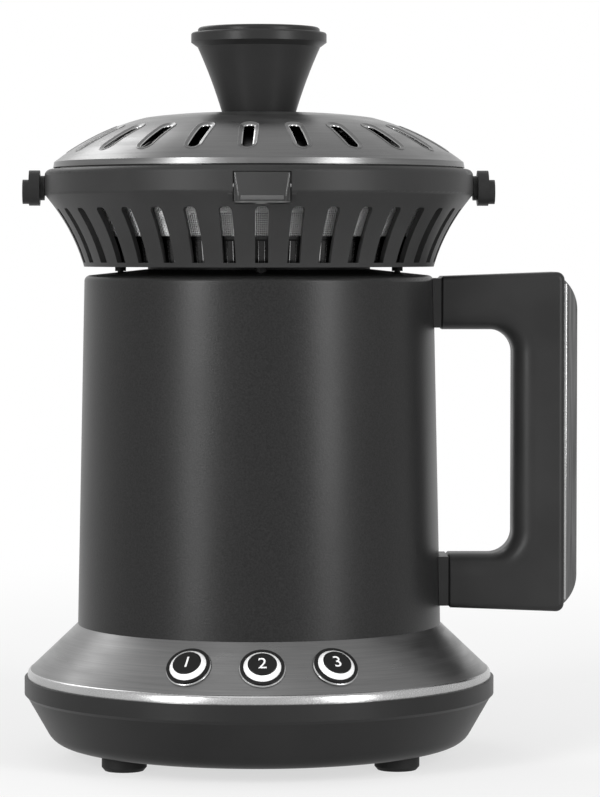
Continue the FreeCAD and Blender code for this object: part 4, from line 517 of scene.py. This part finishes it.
# The body shell is drawn from sheet steel and sprayed with a fine textured black enamel. A black collar
# rings its opening, and the chaff collector sits over the rubber bumpers that are pushed into its top.
def enamel(name, dark, light, rough, depth):
    """A sprayed enamel: a fine even texture that catches the light, and clouds in its sheen."""
    material = new_material(name, gloss=0.18)
    marks = pattern(material, moulding_grain, Grain=1500.0, Cloud=14.0)
    tint(material, marks.outputs["Grain"], grey(dark), grey(light))
    spread(material, marks.outputs["Cloud"], rough - 0.03, rough + 0.03)
    relief(material, marks.outputs["Grain"], depth)
    return material


body_enamel = enamel("body_enamel", 20, 32, 0.35, 0.00003)
dress(body_enamel, "body_shell")
collar_black = moulded("collar_black", 16, 22, 0.5)
dress(collar_black, "top_collar")
bumper_rubber = moulded("bumper_rubber", 18, 26, 0.6, grain=1800.0)
dress(bumper_rubber, "rest_bumpers")


# The handle is one black moulding, screwed on from inside the body, with a collar between each arm and the
# body's curve. A strip of brushed steel is let into its outer side.
handle_black = moulded("handle_black", 34, 42, 0.38)
dress(handle_black, "handle_grip", "handle_collars")

straight_marks, straight_in, straight_out = shader_group(
    "straight_marks",
    {"Across": 2600.0, "Along": 30.0},
    ("Streaks",),
)
straight_place = straight_marks.nodes.new("ShaderNodeTexCoord")
straight_parts = straight_marks.nodes.new("ShaderNodeSeparateXYZ")
straight_marks.links.new(straight_place.outputs["Object"], straight_parts.inputs[0])
straight_vector = straight_marks.nodes.new("ShaderNodeCombineXYZ")
for straight_axis, straight_step in (("X", "Across"), ("Y", "Across"), ("Z", "Along")):
    straight_marks.links.new(
        calculate(
            straight_marks,
            "MULTIPLY",
            straight_parts.outputs[straight_axis],
            straight_in.outputs[straight_step],
        ),
        straight_vector.inputs[straight_axis],
    )
straight_noise = straight_marks.nodes.new("ShaderNodeTexNoise")
straight_noise.inputs["Scale"].default_value = 1.0
straight_noise.inputs["Detail"].default_value = 4.0
straight_marks.links.new(straight_vector.outputs[0], straight_noise.inputs["Vector"])
straight_marks.links.new(straight_noise.outputs["Fac"], straight_out.inputs["Streaks"])

trim_steel = new_material("trim_steel", metallic=1.0)
trim_marks = pattern(trim_steel, straight_marks)
tint(trim_steel, trim_marks.outputs["Streaks"], grey(86), grey(106), start=0.35, end=0.65)
spread(trim_steel, trim_marks.outputs["Streaks"], 0.26, 0.36)
relief(trim_steel, trim_marks.outputs["Streaks"], 0.000004)
dress(trim_steel, "handle_trim")

# Two thin strips along the trim's edges are coloured light, as painted highlights.
trim_edge_width = 0.9
trim_edge_proud = 0.15
trim_edge_round = 0.1
trim_start = 121.4
trim_half_width = 10.5
trim_middle = 126.2
trim_length = 126.0
trim_edge_form = bmesh.new()
for trim_side in (-1.0, 1.0):
    trim_edge = bmesh.ops.create_cube(trim_edge_form, size=1.0)["verts"]
    trim_size = (trim_edge_width, trim_edge_proud * 2.0, trim_length)
    trim_place = (trim_start + trim_edge_width / 2.0, trim_half_width * trim_side, trim_middle)
    bmesh.ops.scale(trim_edge_form, vec=trim_size, verts=trim_edge)
    bmesh.ops.translate(trim_edge_form, vec=trim_place, verts=trim_edge)
bmesh.ops.bevel(
    trim_edge_form,
    geom=trim_edge_form.edges[:],
    offset=trim_edge_round,
    affect="EDGES",
    segments=2,
    profile=0.5,
    material=-1,
)
trim_bevels = finish_piece(trim_edge_form, "trim_bevels", "housing", painted_highlight_steel)


# The chaff collector stands on the body: a black slotted skirt, a steel basin that catches the chaff, a
# flue in its middle, and a fine steel screen behind the upper half of the slots.
skirt_black = moulded("skirt_black", 37, 45, 0.42)
dress(skirt_black, "collector_skirt", "side_lugs", "lug_caps")
# The basin and the flue are coloured near black, painted shade inside the collector.
shaded_basin_steel = turned_steel("shaded_basin_steel", 28, 38, 0.34)
dress(shaded_basin_steel, "chaff_basin", "chaff_flue")


# Under the screen the basin's wall has a steel rib behind each slot of the skirt. The ribs are pressed from
# the wall's own sheet. Their faces are coloured dark as painted shade, and their long edges light as painted
# highlights.
slot_count = 36


def repeat_round(form, count):
    """Repeats a form drawn at the X axis round the Z axis."""
    bmesh.ops.spin(
        form,
        geom=form.verts[:] + form.edges[:] + form.faces[:],
        cent=(0.0, 0.0, 0.0),
        axis=(0.0, 0.0, 1.0),
        angle=math.tau * (count - 1) / count,
        steps=count - 1,
        use_duplicate=True,
    )


shaded_rib_face = sheet_metal("shaded_rib_face", 40, 50, 0.3, grain=2400.0)
rib_width = 3.0
rib_height = 9.6
rib_depth = 0.8
rib_edge_width = 0.42
rib_lean = math.radians(11.9)
rib_place = (68.0, 0.0, 201.5)
rib_form = bmesh.new()
rib = bmesh.ops.create_cube(rib_form, size=1.0)["verts"]
bmesh.ops.scale(rib_form, vec=(rib_depth * 2.0, rib_width, rib_height), verts=rib)
rib_edges = [
    edge for edge in rib_form.edges
    if all(vert.co.x > 0.0 for vert in edge.verts) and edge.calc_length() > rib_height / 2.0
]
rib_highlight_faces = bmesh.ops.bevel(
    rib_form,
    geom=rib_edges,
    offset=rib_edge_width,
    affect="EDGES",
    segments=2,
    profile=0.5,
    material=-1,
)["faces"]
for face in rib_highlight_faces:
    face.material_index = 1
bmesh.ops.rotate(rib_form, matrix=Matrix.Rotation(rib_lean, 3, "Y"), verts=rib_form.verts)
bmesh.ops.translate(rib_form, vec=rib_place, verts=rib_form.verts)
repeat_round(rib_form, slot_count)
basin_ribs = finish_piece(rib_form, "basin_ribs", "collector", shaded_rib_face, painted_highlight_steel)


# The screen is woven of fine steel wire and clamped between two rolled rims. One slot's width of it is woven
# here, 16 warps by 18 wefts, and repeated round the basin.
# The wire is coloured near white, lighter than the steel of the screen's rims: a painted highlight against
# the skirt's shade.
lightened_screen_wire = sheet_metal("lightened_screen_wire", 214, 232, 0.5, grain=3000.0, metallic=0.35)
screen_low = Vector((69.0, 0.0, 207.2))
screen_high = Vector((76.0, 0.0, 220.3))
wire_radius = 0.17
wire_sway = 0.18
weft_count = 18
warps_in_sector = 16
sector = math.tau / slot_count
warp_pitch = sector / warps_in_sector
screen_slope = screen_high - screen_low
screen_out = Vector((screen_slope.z, 0.0, -screen_slope.x)).normalized()
weft_step = screen_slope / (weft_count + 1)


def warp_sway(row, warp):
    """How far a warp wire lies outside the screen's middle, where it passes a weft wire."""
    side = 1.0 if (row + warp) % 2 else -1.0
    return wire_sway * side if 0 < row <= weft_count else 0.0


screen_form = bmesh.new()
for warp in range(warps_in_sector):
    loop = bmesh.ops.create_circle(screen_form, segments=3, radius=wire_radius)["verts"]
    bmesh.ops.translate(screen_form, vec=screen_low, verts=loop)
    strand = list(loop)
    for row in range(1, weft_count + 2):
        edges = list({edge for vert in loop for edge in vert.link_edges if edge.other_vert(vert) in loop})
        grown = bmesh.ops.extrude_edge_only(screen_form, edges=edges)["geom"]
        loop = [item for item in grown if isinstance(item, bmesh.types.BMVert)]
        step_out = warp_sway(row, warp) - warp_sway(row - 1, warp)
        bmesh.ops.translate(screen_form, vec=weft_step + screen_out * step_out, verts=loop)
        strand += loop
    bmesh.ops.rotate(screen_form, matrix=Matrix.Rotation(warp_pitch * warp, 3, "Z"), verts=strand)
for row in range(1, weft_count + 1):
    before = set(screen_form.verts)
    centre = screen_low + weft_step * row
    outline = [
        (centre.x + wire_radius * math.cos(turn), centre.z + wire_radius * math.sin(turn))
        for turn in (0.0, math.tau / 3.0, math.tau * 2.0 / 3.0)
    ]
    turn_outline(screen_form, outline, steps=warps_in_sector, sweep=sector)
    for vert in set(screen_form.verts) - before:
        warp = round(math.atan2(vert.co.y, vert.co.x) / warp_pitch)
        vert.co -= Matrix.Rotation(warp_pitch * warp, 3, "Z") @ (screen_out * warp_sway(row, warp))
# The lower rim is coloured dark like the ribs' faces, painted shade.
screen_rim_low = ((68.6, 206.8), (69.3, 206.8), (69.75, 207.9), (69.05, 207.9))
screen_rim_high = ((75.2, 219.9), (76.1, 219.7), (76.4, 220.5), (79.0, 220.5), (79.0, 221.0), (75.6, 221.0))
for material, outline in enumerate((screen_rim_low, screen_rim_high), start=1):
    turn_outline(screen_form, outline, steps=4, sweep=sector, material=material)
repeat_round(screen_form, slot_count)
screen_steel = sheet_metal("screen_steel", 130, 165, 0.4)
woven_screen = finish_piece(screen_form, "woven_screen", "collector", lightened_screen_wire, shaded_rib_face, screen_steel)
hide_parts("mesh_screen")


# At the back of the collector a steel bracket and pin carry the lid's hinge. At the front a sprung tongue
# holds the lid's rim.
hinge_steel = sheet_metal("hinge_steel", 120, 150, 0.34)
dress(hinge_steel, "hinge_bracket", "hinge_leaf")
pin_steel = sheet_metal("pin_steel", 165, 195, 0.22)
dress(pin_steel, "hinge_pin", "latch_pin", "bracket_rivets", "leaf_rivets")
tongue_black = moulded("tongue_black", 46, 54, 0.34)
dress(tongue_black, "latch_tongue")


# A bead runs across the tongue's foot, and a ridge leans along each of its sides. They are glossier than the
# tongue and coloured lighter, a painted highlight.
tongue_gloss_and_highlight = moulded("tongue_gloss_and_highlight", 58, 70, 0.22, depth=0.000004, gloss=0.6)
tongue_radius = 86.0
bead_height = 222.3
bead_half = math.radians(5.4)
bead_radius = tongue_radius - 0.2
bead_back = tongue_radius - 0.6
bead_bulge = 0.8
bead_rise = 1.0
bead_turns = [math.radians(turn) for turn in range(-90, 91, 30)]
bead_outline = [
    (bead_radius + bead_bulge * math.cos(turn), bead_height + bead_rise * math.sin(turn))
    for turn in bead_turns
] + [(bead_back, bead_height + bead_rise), (bead_back, bead_height - bead_rise)]
tongue_form = bmesh.new()
turn_outline(tongue_form, bead_outline, steps=14, sweep=bead_half * 2.0)
bmesh.ops.holes_fill(tongue_form, edges=[edge for edge in tongue_form.edges if edge.is_boundary], sides=0)
bmesh.ops.rotate(
    tongue_form,
    matrix=Matrix.Rotation(math.radians(-90.0) - bead_half, 3, "Z"),
    verts=tongue_form.verts,
)
ridge_size = (0.5, 0.9, 9.0)
ridge_round = 0.16
ridge_lean = math.radians(8.2)
ridge_side = 9.6
ridge_front = math.sqrt(tongue_radius ** 2 - ridge_side ** 2) - 0.3
ridge_middle = 227.2
for side in (-1.0, 1.0):
    before = set(tongue_form.edges)
    ridge = bmesh.ops.create_cube(tongue_form, size=1.0)["verts"]
    bmesh.ops.scale(tongue_form, vec=ridge_size, verts=ridge)
    bmesh.ops.bevel(
        tongue_form,
        geom=list(set(tongue_form.edges) - before),
        offset=ridge_round,
        affect="EDGES",
        segments=2,
        profile=0.5,
        material=-1,
    )
    ridge = list({vert for edge in set(tongue_form.edges) - before for vert in edge.verts})
    bmesh.ops.rotate(tongue_form, matrix=Matrix.Rotation(ridge_lean * side, 3, "Y"), verts=ridge)
    bmesh.ops.translate(tongue_form, vec=(ridge_side * side, -ridge_front, ridge_middle), verts=ridge)
tongue_edges = finish_piece(tongue_form, "tongue_edges", "latch", tongue_gloss_and_highlight)


# The lid is a dome of brushed steel, pressed with 22 slots whose lips turn in. A slotted steel liner under
# it shines through them.
dome_steel = turned_steel("dome_steel", 98, 108, 0.32)
dress(dome_steel, "lid_dome")

# The turned-in edge of each lip is coloured lighter than the dome, a painted highlight.
lip_painted_highlight = sheet_metal("lip_painted_highlight", 150, 172, 0.2, grain=3000.0)
lid_slot_count = 22
lid_slot_phase = math.radians(-94.2)
dome_arc = 96.0
dome_foot = Vector((81.6, 237.5))
dome_shoulder = Vector((46.0, 255.0))
dome_chord = dome_shoulder - dome_foot
dome_side = Vector((dome_chord.y, -dome_chord.x)).normalized()
dome_centre = (dome_foot + dome_shoulder) / 2.0 - dome_side * (
    math.sqrt(dome_arc ** 2 - dome_chord.length_squared / 4.0)
)


def on_dome(radius):
    """The height of the dome's outer face."""
    return dome_centre.y + math.sqrt(dome_arc ** 2 - (radius - dome_centre.x) ** 2)


slot_inner_end = 57.3
slot_outer_end = 76.0
lip_middle = (slot_inner_end + slot_outer_end) / 2.0
lip_straight = 6.2
lip_lift = 0.05
lip_highlight_reach = 2.4
lip_tip = 0.01
lip_rings = (
    (3.95, -0.05), (3.88, 0.1), (3.65, 0.13), (3.5, 0.02), (3.0, -0.06), (2.45, -0.38),
    (2.2, -0.5), (2.05, -0.62), (2.05, -0.9), (2.3, -1.0), (3.3, -0.5), (3.95, -0.05),
)
lip_form = bmesh.new()
lip_loop = bmesh.ops.create_circle(lip_form, segments=24, radius=lip_rings[0][0])["verts"]
for vert in lip_loop:
    if abs(vert.co.x) > lip_tip:
        vert.co.x += math.copysign(lip_straight, vert.co.x)
lip_long = [edge for edge in lip_form.edges if edge.calc_length() > lip_straight / 2.0]
bmesh.ops.subdivide_edges(lip_form, edges=lip_long, cuts=4)
lip_edges = lip_form.edges[:]
for (radius, height), (last_radius, last_height) in zip(lip_rings[1:], lip_rings):
    grown = bmesh.ops.extrude_edge_only(lip_form, edges=lip_edges)["geom"]
    lip_edges = [item for item in grown if isinstance(item, bmesh.types.BMEdge)]
    lip_verts = [item for item in grown if isinstance(item, bmesh.types.BMVert)]
    lip_edges = [edge for edge in lip_edges if all(vert in lip_verts for vert in edge.verts)]
    for vert in lip_verts:
        straight = max(-lip_straight, min(lip_straight, vert.co.x))
        vert.co.x = straight + (vert.co.x - straight) * radius / last_radius
        vert.co.y *= radius / last_radius
        vert.co.z += height - last_height
    for face in (item for item in grown if isinstance(item, bmesh.types.BMFace)):
        face.material_index = 1 if radius < lip_highlight_reach else 0
bmesh.ops.translate(lip_form, vec=(lip_middle, 0.0, lip_lift), verts=lip_form.verts)
for vert in lip_form.verts:
    vert.co.z += on_dome(vert.co.xy.length)
bmesh.ops.rotate(lip_form, matrix=Matrix.Rotation(lid_slot_phase, 3, "Z"), verts=lip_form.verts)
repeat_round(lip_form, lid_slot_count)
slot_lips = finish_piece(lip_form, "lid_slot_lips", "lid", dome_steel, lip_painted_highlight)

liner_steel = turned_steel("liner_steel", 62, 76, 0.3)
dress(liner_steel, "lid_liner")


# The knob is a hollow black moulding with a cap pressed into its top. One screw from inside the lid holds
# it, over a washer and a spacer.
knob_black = moulded("knob_black", 34, 42, 0.38)
dress(knob_black, "knob_body", "knob_cap")
dress(plate_zinc, "knob_washer", "knob_spacer")
dress(screw_zinc, "knob_screw")
